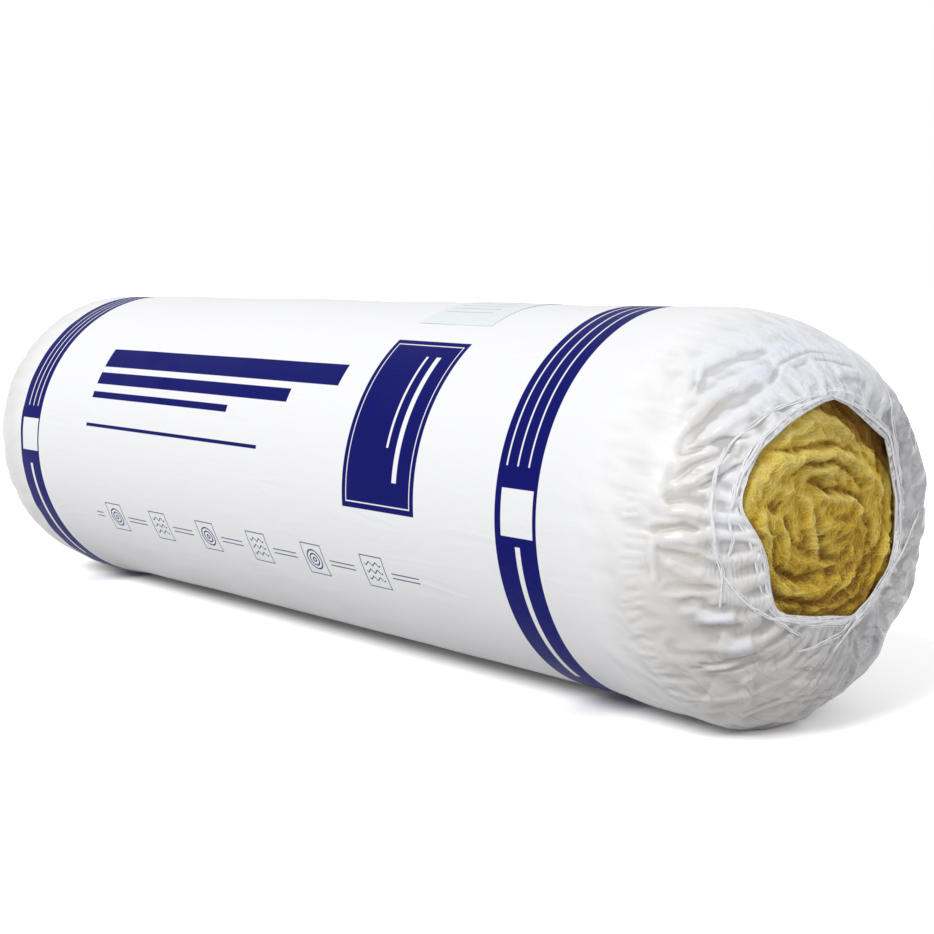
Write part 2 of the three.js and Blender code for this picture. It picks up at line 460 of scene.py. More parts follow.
# %% Spare film, zone by zone
# angle, place down the film, their two sizes, then how much wider and longer the film is there
FRONT_ZONES = [
    (40, 0.4, 60, 0.5, 0.3, 0.2),
    (-15, 0.4, 40, 0.5, 0.3, 0.2),
    (-60, 0.6, 30, 0.3, 0.5, 1.0),
    (-115, 0.6, 30, 0.3, 0.35, 2.2),
    (180, 0.5, 42, 0.35, 0.1, 1.6),
    (120, 0.55, 26, 0.3, 0.3, 1.2),
    (82, 0.75, 34, 0.35, 0.1, 0.4),
]


def by_zone(angle, row, zones, which):
    """1, changed near each zone: angle, place down the film, two sizes and two factors."""
    value = np.ones_like(angle)
    for zone in zones:
        turn = (np.degrees(angle) - zone[0] + 180.0) % 360.0 - 180.0
        share = np.exp(-(turn / zone[2]) ** 2 - ((row - zone[1]) / zone[3]) ** 2)
        value = value + share * (zone[4 + which] - 1.0)
    return np.clip(value, 0.05, None)


beside = by_zone(np.zeros(1), np.array([0.4]), FRONT_ZONES, 0)
print("spare width left of the front mouth:", beside.round(2), "of the usual")

# %% [markdown]
# Thin film remembers each fold. The folds that settling doesn't find are drawn one by one. A
# stroke is a few spots on the film, a half width and a height, and its height fades beside
# it. A minus makes a crease. Sculpting could do this too, but strokes can be read and moved.

# %% Folds of the front end
# Spots of (degrees round the roll, length of film from the body), half width, height.
FRONT_FOLDS = [
    ([(34, 70), (46, 62), (60, 66), (74, 76), (88, 80)], 13.0, 2.4),
    ([(33, 81), (39, 87), (45, 89), (51, 96), (58, 104), (66, 112)], 6.5, 3.0),
    ([(28.5, 93), (32, 103), (38, 112), (45, 120), (52, 128)], 5.5, 2.6),
    ([(22.5, 85), (25, 96), (28, 110)], 3.5, 2.0),
    ([(16, 88), (18, 101), (22, 111), (26, 120), (30, 124)], 3.0, 2.6),
    ([(8.5, 84), (9, 100), (8, 112)], 4.5, 2.0),
    ([(1.2, 80), (0.8, 98), (-0.5, 112)], 4.5, 2.0),
    ([(-5, 84), (-8, 100), (-10, 116)], 3.5, 1.8),
    ([(-15, 84), (-14.8, 100), (-16, 112)], 2.6, 1.4),
    ([(-19.5, 92), (-20, 108)], 3.0, 1.4),
    ([(-22.5, 102), (-24, 118), (-26, 136)], 5.5, 3.2),
    ([(-33, 112), (-35, 125), (-38, 142)], 7.0, 2.6),
    ([(-40, 92), (-41, 108), (-43, 124)], 3.0, 1.4),
    ([(-48, 84), (-54, 100), (-58, 116)], 16.0, 2.0),
    ([(-51, 112), (-50, 126)], 2.5, 1.8),
    ([(44, 73), (50, 72), (57.5, 80), (65, 92), (72, 98)], 4.5, -2.0),
    ([(27, 84), (35, 92), (42, 99), (50, 111), (58, 118)], 4.5, -2.2),
    ([(25, 84), (27, 94), (30.3, 104), (34, 120), (37.5, 134)], 2.2, -2.2),
    ([(18.5, 86), (21.5, 95), (25, 104), (29, 117)], 3.0, -1.8),
    ([(14, 80), (12.5, 86), (13, 96)], 4.0, -2.0),
    ([(16, 104), (21, 120), (25.5, 130), (29.5, 140)], 2.2, -2.2),
    ([(2.8, 70), (4.5, 82), (4.8, 98), (4, 114)], 3.0, -2.6),
    ([(-2.5, 78), (-3, 98), (-3.8, 108)], 2.2, -1.8),
    ([(-6.5, 90), (-8, 101), (-9, 107)], 1.6, -1.4),
    ([(-4.5, 106), (-6, 120), (-8, 128)], 3.0, -1.8),
    ([(-13.2, 82), (-12, 87), (-12, 98), (-13, 110), (-14.5, 127)], 2.0, -2.6),
    ([(-17, 92), (-16.5, 104), (-17.5, 116)], 1.8, -1.6),
    ([(-19, 108), (-20, 120), (-20, 130)], 1.8, -1.2),
    ([(-25.5, 102), (-27, 120), (-30.5, 140)], 3.5, -2.4),
    ([(-37, 92), (-39.5, 106), (-41, 124), (-43, 142)], 1.8, -2.2),
    ([(-41, 96), (-43, 108), (-45, 124), (-47, 142)], 1.6, -1.8),
    ([(-38, 84), (-40, 100)], 1.5, -1.0),
    ([(-64, 90), (-66, 108), (-70, 126)], 2.0, -1.6),
    ([(1, 75), (-5, 74), (-12, 75)], 1.8, 1.4),
    ([(1, 79), (-12, 79)], 1.6, -0.7),
    ([(41.5, 70), (46, 67), (50, 63)], 1.7, 1.8),
    ([(42.5, 75), (48, 71), (53, 67)], 1.7, 1.8),
    ([(22, 118), (14, 118), (9, 119.5), (0, 124), (-6, 127)], 3.0, 1.7),
    ([(57, 121), (62, 118), (67, 113), (75, 114), (82, 115), (86, 119), (93, 124)], 1.8, -1.3),
    ([(58, 125), (63, 122), (68, 117.5), (75, 118), (82, 119), (87, 123), (94, 128)], 2.0, 0.9),
    ([(80, 124), (83, 127), (90, 133), (98, 137)], 1.6, -1.1),
    ([(80, 128), (84, 131), (91, 137)], 1.9, 0.8),
    ([(70, 122), (74, 124), (79, 122)], 1.5, -1.0),
    ([(57, 92), (64, 96), (72, 98), (80, 97)], 6.0, 1.0),
    ([(84, 150), (92, 150), (100, 152)], 3.5, -1.5),
    ([(84, 143), (92, 142), (102, 146)], 4.0, 1.1),
    ([(80, 157), (95, 165), (108, 176)], 1.7, 1.4),
    ([(110, 160), (122, 160), (135, 166), (150, 172)], 5.0, 2.0),
    ([(118, 172), (130, 178), (142, 184)], 3.0, -1.6),
    ([(125, 150), (140, 158), (155, 164)], 2.5, -1.4),
    ([(150, 180), (165, 184), (178, 186)], 5.0, 1.4),
    ([(-166, 186), (-170, 174)], 1.6, -1.6),
    ([(-160, 190), (-167, 176)], 3.5, 1.8),
    ([(-152, 191), (-158, 185), (-165, 175)], 1.8, -2.0),
    ([(-145, 196), (-151, 184), (-157, 172)], 3.5, 2.0),
    ([(-141, 200), (-148, 191), (-153, 184)], 1.8, -2.0),
    ([(-138, 198), (-147, 186), (-152, 176)], 1.6, -1.6),
    ([(-133, 198), (-142, 184), (-147, 170)], 1.8, -2.0),
    ([(-128, 196), (-134, 180), (-139, 165)], 4.0, 2.2),
    ([(-123, 195), (-125, 180), (-132, 160)], 1.6, -2.0),
    ([(-118, 193), (-119, 180), (-124, 160)], 1.6, -1.6),
    ([(-110, 190), (-114, 176), (-121, 160)], 4.0, 1.8),
    ([(-98, 193), (-108, 186), (-118, 176)], 1.8, -1.8),
    ([(-104, 180), (-112, 170), (-119, 158)], 1.6, -1.4),
    ([(-78, 120), (-90, 122), (-100, 118)], 1.8, -1.8),
    ([(-72, 128), (-85, 132), (-98, 130)], 1.6, -1.2),
    ([(-60, 150), (-72, 156), (-84, 158)], 1.6, -1.2),
    ([(-65, 140), (-80, 145), (-95, 146)], 4.0, 1.6),
]
print("folds and creases drawn:", len(FRONT_FOLDS))

# %% [markdown]
# Where the film lies hard on the wool it takes some of its warmth, and the warm strokes also
# lay painted shade along shaded bands and creases. The cool strokes are painted bluish highlights
# on bulges. These strokes hold that colour, and the material reads it.

# %% Warm film with painted shade, and cool painted highlights
# Spots, half width, and 1 for warm (wool colour and painted shade) or -1 for cool (painted highlight).
FRONT_WARMTH_AND_LIGHT = [
    ([(12.5, 80), (12.5, 92)], 7.0, 1.0),
    ([(3.4, 70), (4.5, 90), (3.8, 112)], 5.0, 1.0),
    ([(27, 84), (35, 91), (42, 98), (50, 112)], 8.0, 0.45),
    ([(20, 88), (24, 103)], 6.0, 0.6),
    ([(-13, 82), (-12.5, 100), (-14.5, 127)], 4.5, 0.7),
    ([(-3, 104), (-5, 112)], 7.0, 0.7),
    ([(-5, 60), (-25, 70), (-45, 80)], 26.0, 0.35),
    ([(33, 100), (40, 110), (48, 120)], 6.0, -0.7),
    ([(-22, 104), (-24, 118), (-26, 134)], 5.0, -1.0),
    ([(-34, 118), (-38, 140)], 7.0, -0.6),
    ([(30, 128), (18, 128), (6, 132), (-4, 138)], 9.0, -0.8),
]
print("warm and cool strokes:", len(FRONT_WARMTH_AND_LIGHT))

# %% Helpers: a stroke on the film


def line_distance(points, line):
    """Distance from each point to a line of straight parts, and the share along it."""
    best = np.full(points.shape[:-1], 1e9)
    place = np.zeros(points.shape[:-1])
    line = np.asarray(line, float)
    for k in range(len(line) - 1):
        a, b = line[k], line[k + 1]
        share = np.clip(((points - a) @ (b - a)) / ((b - a) @ (b - a)), 0.0, 1.0)
        gap = np.linalg.norm(points - a - share[..., None] * (b - a), axis=-1)
        near = gap < best
        best = np.where(near, gap, best)
        place = np.where(near, (k + share) / (len(line) - 1), place)
    return best, place


def end_spots(end, spots):
    """Points on an end's base shape, from pairs of degrees and length of film."""
    chart, _ = base_surface(end, 120, 360, [(-180, -180), (-90, -90), (0, 0), (90, 90)])
    reach = reach_along(chart)
    found = []
    for degrees, length in spots:
        column = int(round(degrees + 180)) % 360
        found.append([np.interp(length, reach[:, column], chart[:, column, k]) for k in range(3)])
    return np.array(found)


def drawn_sum(end, base, strokes, bend, ends=2.6):
    """Sum of drawn strokes; a large number of ends keeps them full up to their ends."""
    total = np.zeros(base.shape[:2])
    for spots, width, tall in strokes:
        gap, share = line_distance(base, end_spots(end, spots))
        taper = np.clip(ends * np.sin(np.pi * np.clip(share, 0.03, 0.97)), 0.0, 1.0)
        total = total + tall * taper * np.exp(-((gap + bend) / width) ** 2)
    return total


spot = end_spots(FRONT_END, [(0.0, 100.0)])[0]
print("a spot 100 mm down the film, at the roll's left side:", spot.round(1))

# %% [markdown]
# Where the taut film ends, a row of short ripples runs up the roll's side. Their places and
# lengths are random, from a seeded generator, because a regular row looks like a comb.

# %% Short ripples
RIPPLE_STEP = -2.9      # degrees from one to the next
RIPPLE_WIDTH = 2.4
CREASE_WIDTH = 1.5
CREASE_BESIDE = 1.3     # degrees


def small_ripples():
    """The row of short ripples where the film leaves the body and starts to draw in."""
    random = np.random.default_rng(4)
    strokes = []
    for degrees in np.arange(11.0, -54.0, RIPPLE_STEP):
        degrees = degrees + random.uniform(-0.8, 0.8)
        start = 43.0 + 0.14 * abs(degrees + 4.0) + random.uniform(-4.0, 7.0)
        length = random.uniform(9.0, 24.0)
        tilt = random.uniform(-0.6, 2.0)
        tall = random.uniform(0.2, 0.65)
        beside = degrees - CREASE_BESIDE
        strokes.append(([(degrees, start), (degrees + tilt, start + length)], RIPPLE_WIDTH, tall))
        strokes.append(([(beside, start), (beside + tilt, start + length)], CREASE_WIDTH, -tall))
    return strokes


print("ripples and the creases beside them:", len(small_ripples()))

# %% [markdown]
# Between the drawn folds the film has small pillows that meet in narrow valleys, stronger on
# the sides that no stroke describes. Last comes the hem: the film's edge is rolled on itself
# and shows as a rib round the mouth.

# %% Small folds
DRAWN_STRENGTH = 1.45
CALM_SHARE = 0.16       # of the pillows, where the folds are drawn
UNDRAWN_SHARE = 0.5
BACK_SHARE = 0.6
HEM_HEIGHT = 1.5
HEM_MIDDLE = 7.0        # from the mouth's edge
HEM_WIDTH = 3.6


def pillows(value, edge):
    """Round bulges that meet in narrow valleys."""
    return np.clip(edge * np.abs(value), 0.0, 1.0) ** 0.8 - 0.6


def hem_rib(across, up, reach, seed):
    """The rolled edge, which wanders a little and swells here and there."""
    from_edge = reach[-1:] - reach
    middle = HEM_MIDDLE + 3.0 * noise(stack(across / 24.0, up / 24.0, 0.0), seed + 5)
    hem = np.exp(-((from_edge - middle) / HEM_WIDTH) ** 2)
    hem = hem * (0.75 + 0.5 * noise(stack(across / 12.0, up / 12.0, 5.0), seed + 6))
    return HEM_HEIGHT * hem * smoothstep(from_edge, 0.0, 4.0)


def small_folds(end, base, angle, seed):
    """Height of the small folds that thin film keeps, drawn on the film laid flat."""
    reach = reach_along(base)
    turn = np.linspace(-np.pi, np.pi, base.shape[1], endpoint=False)[None, :]
    across = FILM_RADIUS * np.cos(turn)
    up = FILM_RADIUS * np.sin(turn)
    bend = 3.0 * noise(stack(across / 22.0, up / 22.0, reach / 22.0), seed + 9)

    def folds(wide, long, seed):
        return noise(stack((across + bend) / wide, (up + bend) / wide, (reach + bend) / long), seed)

    row = np.linspace(0, 1, len(base))[:, None]
    inside = smoothstep(row, 0.0, 0.10) * (1 - smoothstep(row, 0.94, 1.0))
    patch = 0.5 + 0.5 * noise(stack(across / 46.0, up / 46.0, reach / 46.0), seed + 12)
    later = smoothstep(reach, 40.0, 90.0)
    if end["side"] > 0:
        wander = 1.2 * noise(base / 9.0, seed + 20)
        height = DRAWN_STRENGTH * drawn_sum(end, base, FRONT_FOLDS + small_ripples(), wander)
        undrawn = smoothstep(np.cos(angle - np.radians(20.0)), -0.25, -0.9)
        undrawn = undrawn * smoothstep(reach, 150.0, 110.0)
        later = later * (CALM_SHARE + UNDRAWN_SHARE * undrawn)
    else:
        height = np.zeros(base.shape[:2])
        later = BACK_SHARE * later
    large = pillows(folds(19.0, 27.0, seed + 3), 3.0)
    height = height + 1.3 * later * smoothstep(patch, 0.2, 0.8) * large
    small = pillows(folds(10.0, 15.0, seed + 4), 2.8)
    height = height + 0.9 * later * smoothstep(patch, 0.9, 0.2) * small
    return inside * height + hem_rib(across, up, reach, seed)


print("the hem's rib lies", HEM_MIDDLE, "mm from the mouth's edge")

# %% [markdown]
# One end of the film takes all these steps in turn: a smooth shape, the spare film, settling,
# the drawn folds along the normal, and a last look that nothing sinks into the wool or the
# floor.

# %% One end of the film
CLOSEST = -0.9          # how far the film may sink below its smooth shape


def spare_film(angle, row, patch, seed, start, spare, zones):
    """How much wider and longer the film is than its shape needs, point by point."""
    wide = np.clip(1 + 0.9 * noise(patch, seed + 40), 0.15, None) * by_zone(angle, row, zones, 0)
    long = np.clip(0.7 + 1.1 * noise(patch * 1.3, seed + 41), 0.1, None) * by_zone(angle, row, zones, 1)
    grows = smoothstep(row, start, start + 0.4)
    wider = 1 + spare[0] * wide * grows * (1 + 0.5 * smoothstep(row, 0.5, 0.95))
    longer = 1 + spare[1] * long * grows * (1 - 0.7 * smoothstep(row, 0.7, 1.0))
    return wider.astype(np.float32), longer.astype(np.float32)


def end_film(end, rows, columns, pulls, seed, start, spare, zones=()):
    """One end of the film. spare holds the shares of width and length past what it needs."""
    base, angle = base_surface(end, rows, columns, pulls)
    base = base.astype(np.float32)
    row = np.linspace(0, 1, rows)[:, None]
    patch = stack(3.0 * np.cos(angle), 3.0 * np.sin(angle), 3.5 * row)
    wider, longer = spare_film(angle, row, patch, seed, start, spare, zones)
    film = settle(base, end["side"], wider, longer, seed)
    film = film + small_folds(end, base, angle, seed + 60)[..., None] * outward(film, end["side"])
    up = outward(base, end["side"])
    lift = ((film - base) * up).sum(-1)
    film = film + (np.maximum(lift, CLOSEST) - lift)[..., None] * up
    film[..., 2] = np.maximum(film[..., 2], FLOOR_CLEAR)
    lift = ((film - base) * up).sum(-1)
    print("film end settled:", film.shape, "lift from", lift.min().round(2), "to", lift.max().round(2))
    return film, base, lift


# %% [markdown]
# The front end has the finer grid, because it is seen from near. Its lines of film are pulled
# to the corners of the mouth.

# %% Front end of the film
FRONT_ROWS = 105
FRONT_COLUMNS = 640
FRONT_PULLS = [(-185, -180), (-165, -150), (-140, -118), (-120, -100), (-90, -92), (-60, -84),
               (-45, -72), (-25, -42), (-5, -8), (15, 12), (45, 45), (75, 74), (120, 118),
               (160, 165)]

front_film, front_base, front_lift = end_film(
    FRONT_END, FRONT_ROWS, FRONT_COLUMNS, FRONT_PULLS, 5, 0.12, (0.065, 0.03), FRONT_ZONES)
front_warmth_and_light = drawn_sum(FRONT_END, front_base, FRONT_WARMTH_AND_LIGHT, 3.0 * noise(front_base / 16.0, 35), 1.2)
print("warm film up to", front_warmth_and_light.max().round(2), "and cool film down to", front_warmth_and_light.min().round(2))

# %% Back end of the film
BACK_ROWS = 49
BACK_COLUMNS = 320
BACK_PULLS = [(-180, -180), (-90, -90), (0, 0), (90, 90)]

back_film, _, back_lift = end_film(
    BACK_END, BACK_ROWS, BACK_COLUMNS, BACK_PULLS, 21, 0.3, (0.035, 0.008))
print("back pleats up to", back_lift.max().round(1), "mm high")

# %% [markdown]
# Between the two ends the film is a plain tube with long shallow waves. Its rows lie close
# together where it starts to loosen, and far apart where nothing happens.

# %% The film's middle
BODY_ROWS = 34

angle = np.linspace(-np.pi, np.pi, BACK_COLUMNS, endpoint=False)[None, :]
along = np.interp(np.linspace(0, BODY_ROWS - 1, BODY_ROWS), [0, 6, 22, BODY_ROWS - 1],
                  [-BACK_END["start"], -415.0, 405.0, FRONT_END["start"]])[:, None]
radius = roll_radius(along) + body_wave(along, angle)
height = roll_axis(along) + radius * np.sin(angle)
body_film = stack(along + 0 * angle, -radius * np.cos(angle), height)
print("the middle:", body_film.shape[:2], "points, from", along.min(), "to", along.max())

# %% [markdown]
# A mesh needs points and faces, and its materials need maps and values. These helpers write
# them in one call each, because setting them point by point is slow on a mesh this size.

# %% Helpers for meshes


def grid_faces(rows, columns, first=0):
    """Faces of an open grid whose points start at a number."""
    row, column = np.meshgrid(np.arange(rows - 1), np.arange(columns - 1), indexing="ij")
    here = first + row * columns + column
    return np.stack([here, here + columns, here + columns + 1, here + 1], -1).reshape(-1, 4)


def write_mesh(name, points, faces, smooth=True):
    """A mesh from points in millimetres and a list of faces."""
    mesh = bpy.data.meshes.new(name)
    mesh.from_pydata(np.asarray(points, float) * 0.001, [], [list(map(int, f)) for f in faces])
    if smooth:
        mesh.polygons.foreach_set("use_smooth", np.ones(len(mesh.polygons), bool))
    mesh.update()
    piece = bpy.data.objects.new(name, mesh)
    bpy.context.scene.collection.objects.link(piece)
    return piece


def write_map(piece, name, across, down):
    """A UV map from two numbers for each point."""
    corner = np.zeros(len(piece.data.loops), np.int32)
    piece.data.loops.foreach_get("vertex_index", corner)
    layer = piece.data.uv_layers.new(name=name)
    layer.data.foreach_set("uv", np.stack([across[corner], down[corner]], 1).astype(np.float32).ravel())


def write_value(piece, name, values):
    """A number for each point, which a material can read."""
    layer = piece.data.attributes.new(name, "FLOAT", "POINT")
    layer.data.foreach_set("value", np.asarray(values, np.float32).ravel())


print("a grid of 3 by 4 points has", len(grid_faces(3, 4)), "faces")

# %% [markdown]
# A sleeve is made from a flat web: it goes once round the roll and its two long edges are
# welded with a lap. So the three parts are opened along the far side, and the last few
# columns of the grid lie over the first ones. At each mouth the film turns in on itself, so
# that its edge isn't seen as a single line.

# %% Lap and turned-in hem
LAP_COLUMNS = 5
LAP_RISE = 0.45
HEM_ROWS = 5
HEM_STEP = 0.9
HEM_REACH = 1.4


def lapped(part, side, lap):
    """Opens a closed grid and carries it on over its own start, a little higher."""
    normal = outward(part, side)
    over = part[:, :lap + 1] + LAP_RISE * normal[:, :lap + 1]
    return np.concatenate([part, over], axis=1)


def turned_in(film, side):
    """The last few rows turn in under the hem, toward the wool."""
    edge = film[-1]
    out = edge - edge.mean(axis=0)
    out[:, 0] = 0
    out /= np.linalg.norm(out, axis=1, keepdims=True)
    rows = []
    for k in range(1, HEM_ROWS + 1):
        bend = k / HEM_ROWS * np.pi * 0.62
        step = edge + out * (1 - np.cos(bend)) * 1.2
        step[:, 0] -= side * (HEM_STEP * np.sin(bend) + HEM_REACH * (k / HEM_ROWS) ** 2)
        rows.append(step)
    return np.array(rows)


front_part = np.concatenate([front_film, turned_in(front_film, 1)])
back_part = np.concatenate([turned_in(back_film, -1)[::-1], back_film[::-1]])
print("rows with the hems:", len(front_part), "and", len(back_part))

# %% [markdown]
# The front end has twice as many columns as the rest. A strip of triangles joins the two
# grids, two fine steps to each coarse one, so the film is one mesh with one point where
# several faces meet.

# %% One mesh from the three parts
coarse = np.concatenate([back_part, body_film[1:-1]])
coarse = lapped(coarse, 1, LAP_COLUMNS)
fine = lapped(front_part, 1, 2 * LAP_COLUMNS)
fine_start = coarse.shape[0] * coarse.shape[1]
last = fine_start - coarse.shape[1] + np.arange(coarse.shape[1] - 1)
left = fine_start + 2 * np.arange(coarse.shape[1] - 1)
seam = [[a, b, b + 1] for a, b in zip(last, left)]
seam += [[a, b + 1, a + 1] for a, b in zip(last, left)]
seam += [[a + 1, b + 1, b + 2] for a, b in zip(last, left)]
coarse_faces = grid_faces(*coarse.shape[:2]).tolist()
fine_faces = grid_faces(*fine.shape[:2], fine_start).tolist()
faces = coarse_faces + seam + fine_faces
film_points = np.concatenate([coarse.reshape(-1, 3), fine.reshape(-1, 3)])
film = write_mesh("film", film_points, faces)
print("film points:", len(film_points), "triangles:", sum(len(f) - 2 for f in faces))

# %% [markdown]
# The material needs to know where it is on the film. One map is the printed tube, in metres
# along and round it. Another is the web as it was cut, which the crinkles follow into the
# gathered ends, and the last one fills a square once, for baking.

# %% Maps of the film


def rows_and_columns(grid):
    """The row and the column of each point of a grid."""
    rows, columns = grid.shape[:2]
    return np.repeat(np.arange(rows), columns), np.tile(np.arange(columns), rows)


def both(coarse_values, fine_values):
    """Values of the whole film, from its two grids."""
    return np.concatenate([np.ravel(coarse_values), np.ravel(fine_values)])


def with_lap(grid, lap):
    """Carries a grid's first columns on past its last one, as the lap does."""
    return np.concatenate([grid, grid[:, :lap + 1]], 1)


def all_round(coarse_grid, fine_grid):
    """Values of the whole film, from a grid of each part before it is lapped."""
    return both(with_lap(coarse_grid, LAP_COLUMNS), with_lap(fine_grid, 2 * LAP_COLUMNS))


coarse_row, coarse_column = rows_and_columns(coarse)
fine_row, fine_column = rows_and_columns(fine)
turn = both(coarse_column / BACK_COLUMNS, fine_column / FRONT_COLUMNS)
arc = np.arctan2(film_points[:, 2] - BAG_AXIS, -film_points[:, 1])
expected = 2 * np.pi * turn - np.pi
arc = arc + 2 * np.pi * np.round((expected - arc) / (2 * np.pi))
write_map(film, "print", film_points[:, 0] * 0.001, arc * BODY_RADIUS * 0.001)
down = both(0.001 + 0.548 * coarse_row / coarse_row.max(), 0.551 + 0.448 * fine_row / fine_row.max())
write_map(film, "OFBake", turn / turn.max() * 0.998 + 0.001, down)
print("the print map is", np.ptp(arc * BODY_RADIUS).round(), "mm round, with the lap")

# %% The web as it was cut
hem_reach = HEM_STEP * np.arange(1, HEM_ROWS + 1)[:, None]
front_reach = reach_along(front_film)
front_reach = FRONT_END["start"] + np.vstack([front_reach, front_reach[-1:] + hem_reach])
back_reach = reach_along(back_film)
back_reach = -BACK_END["start"] - np.vstack([back_reach, back_reach[-1:] + hem_reach])[::-1]
coarse_reach = np.concatenate([back_reach, along[1:-1] + 0 * back_reach[:1]])
cut_down = all_round(coarse_reach, front_reach)
write_map(film, "cut", (turn - 0.5) * 2 * np.pi * FILM_RADIUS * 0.001, cut_down * 0.001)
print("the web is about", (front_reach.max(0).mean() - back_reach.min(0).mean()).round(), "mm long")

# %% [markdown]
# Some of what the eye reads as film is height: a valley lies on the wool, takes its colour and
# gets painted shade, a fold gets painted shade, and an edge is doubled. The mesh knows its
# heights, so it hands them to the material as values: how high the film stands, how much it lies
# in a fold, how far it is from a mouth's edge, and how warm or cool it is painted, which holds
# wool colour, painted shade and painted highlights.

# %% Values of the film


def softened(values, times):
    """Values evened out with their neighbours."""
    for _ in range(times):
        values = (np.roll(values, 1, 1) + np.roll(values, -1, 1) + 2 * values) / 4
        values[1:-1] = (values[:-2] + values[2:] + 2 * values[1:-1]) / 4
    return values


def on_front(values):
    """Values of the front end, on the whole of its part with hem and lap."""
    grid = np.zeros(fine.shape[:2])
    grid[:FRONT_ROWS, :FRONT_COLUMNS] = values
    return grid


BACK_HEM = len(back_part) - BACK_ROWS
NO_EDGE = 200.0
front_value = on_front(front_lift)
back_value = np.zeros(coarse.shape[:2])
back_value[BACK_HEM:len(back_part), :BACK_COLUMNS] = back_lift[::-1]
back_fold = back_value - softened(back_value, 12)
front_fold = front_value - softened(front_value, 30)
far_from_edge = np.full((BODY_ROWS - 2, BACK_COLUMNS), NO_EDGE)
back_edge = np.concatenate([back_reach - back_reach[BACK_HEM], far_from_edge])
front_edge = front_reach[FRONT_ROWS - 1] - front_reach
write_value(film, "edge", all_round(back_edge, front_edge))
write_value(film, "lift", both(back_value, front_value))
write_value(film, "warmth_and_light", both(0 * back_value, on_front(front_warmth_and_light)))
write_value(film, "fold", both(back_fold, front_fold))
print("fold values from", front_fold.min().round(2), "to", front_fold.max().round(2))

# %% [markdown]
# Shader nodes are easier to read when each small job is a line of code. These helpers add a
# node, wire it and hand back its output. The same could be wired by hand in the editor.

# %% Helpers for shader nodes


class Nodes:
    """Adds nodes to one tree and wires them."""

    def __init__(self, tree):
        self.tree = tree

    def add(self, kind, **settings):
        node = self.tree.nodes.new(kind)
        for name, value in settings.items():
            setattr(node, name, value)
        return node

    def feed(self, socket, value):
        if isinstance(value, bpy.types.NodeSocket):
            self.tree.links.new(value, socket)
        elif value is not None:
            socket.default_value = value

    def math(self, operation, first, second=None, third=None, clamp=False):
        node = self.add("ShaderNodeMath", operation=operation, use_clamp=clamp)
        for socket, value in zip(node.inputs, (first, second, third)):
            self.feed(socket, value)
        return node.outputs[0]

    def blend(self, share, first, second):
        node = self.add("ShaderNodeMix", data_type="RGBA")
        self.feed(node.inputs[0], share)
        self.feed(node.inputs[6], first)
        self.feed(node.inputs[7], second)
        return node.outputs[2]

    def ramp(self, value, low, high, to_low=0.0, to_high=1.0):
        node = self.add("ShaderNodeMapRange", clamp=True)
        for socket, item in zip(node.inputs, (value, low, high, to_low, to_high)):
            self.feed(socket, item)
        return node.outputs[0]

    def group(self, tree, **inputs):
        node = self.add("ShaderNodeGroup", node_tree=tree)
        for name, value in inputs.items():
            self.feed(node.inputs[name.replace("_", " ")], value)
        return node


def new_group(name, inputs, outputs):
    """A node group with named sockets, and the ends of it to wire."""
    tree = bpy.data.node_groups.new(name, "ShaderNodeTree")
    for socket, kind, value in inputs:
        made = tree.interface.new_socket(name=socket, in_out="INPUT", socket_type=kind)
        if value is not None:
            made.default_value = value
    for socket, kind in outputs:
        tree.interface.new_socket(name=socket, in_out="OUTPUT", socket_type=kind)
    nodes = Nodes(tree)
    return tree, nodes, nodes.add("NodeGroupInput").outputs, nodes.add("NodeGroupOutput").inputs


FLOAT = "NodeSocketFloat"
VECTOR = "NodeSocketVector"
print("sockets of the groups are of kind", FLOAT, "and", VECTOR)

# %% [markdown]
# The print is flat colour on the film. Every printed shape is a bar, so one small group makes
# a bar, softened over half a millimetre, and the layout places it. An image would do the same,
# but a bar made of sums stays sharp from near.

# %% Group: one printed bar
EDGE_SHARPNESS = 2.0

bar_group, n, given, out = new_group(
    "Printed bar",
    [("Along", FLOAT, 0.0), ("Round", FLOAT, 0.0), ("Middle along", FLOAT, 0.0),
     ("Middle round", FLOAT, 0.0), ("Half length", FLOAT, 10.0), ("Half height", FLOAT, 10.0)],
    [("Mask", FLOAT)])
masks = []
for place, middle_name, half in (("Along", "Middle along", "Half length"),
                                 ("Round", "Middle round", "Half height")):
    away = n.math("ABSOLUTE", n.math("SUBTRACT", given[place], given[middle_name]))
    inside = n.math("SUBTRACT", given[half], away)
    masks.append(n.math("MULTIPLY_ADD", inside, EDGE_SHARPNESS, 0.5, clamp=True))
n.feed(out["Mask"], n.math("MULTIPLY", *masks))
print("bar group nodes:", len(bar_group.nodes))

# %% Helpers: bars, and masks put together


def bar(nodes, along, around, shape):
    """A bar's mask. Its shape is its middle along and round the roll, then its half sizes."""
    node = nodes.group(bar_group, Along=along, Round=around, Middle_along=shape[0],
                       Middle_round=shape[1], Half_length=shape[2], Half_height=shape[3])
    return node.outputs["Mask"]


def any_of(nodes, masks):
    """1 where any of the masks is 1."""
    total = masks[0]
    for mask in masks[1:]:
        total = nodes.math("MAXIMUM", total, mask)
    return total


def less(nodes, mask, hole):
    """A mask with a hole in it."""
    return nodes.math("MULTIPLY", mask, nodes.math("SUBTRACT", 1.0, hole))


def outline(nodes, along, around, shape, line):
    """The outline of a bar, as wide as line."""
    inner = (shape[0], shape[1], shape[2] - line, shape[3] - line)
    return less(nodes, bar(nodes, along, around, shape), bar(nodes, along, around, inner))


print("helpers for masks:", [helper.__name__ for helper in (bar, any_of, less, outline)])

# %% [markdown]
# A wool sleeve is printed in one ink: a band round each end, a plate, a few large lines along
# the side and a row of small signs. Here they say nothing: lines stand for words, and the
# signs are rings, as a roll's turns, and waves, as its layers.

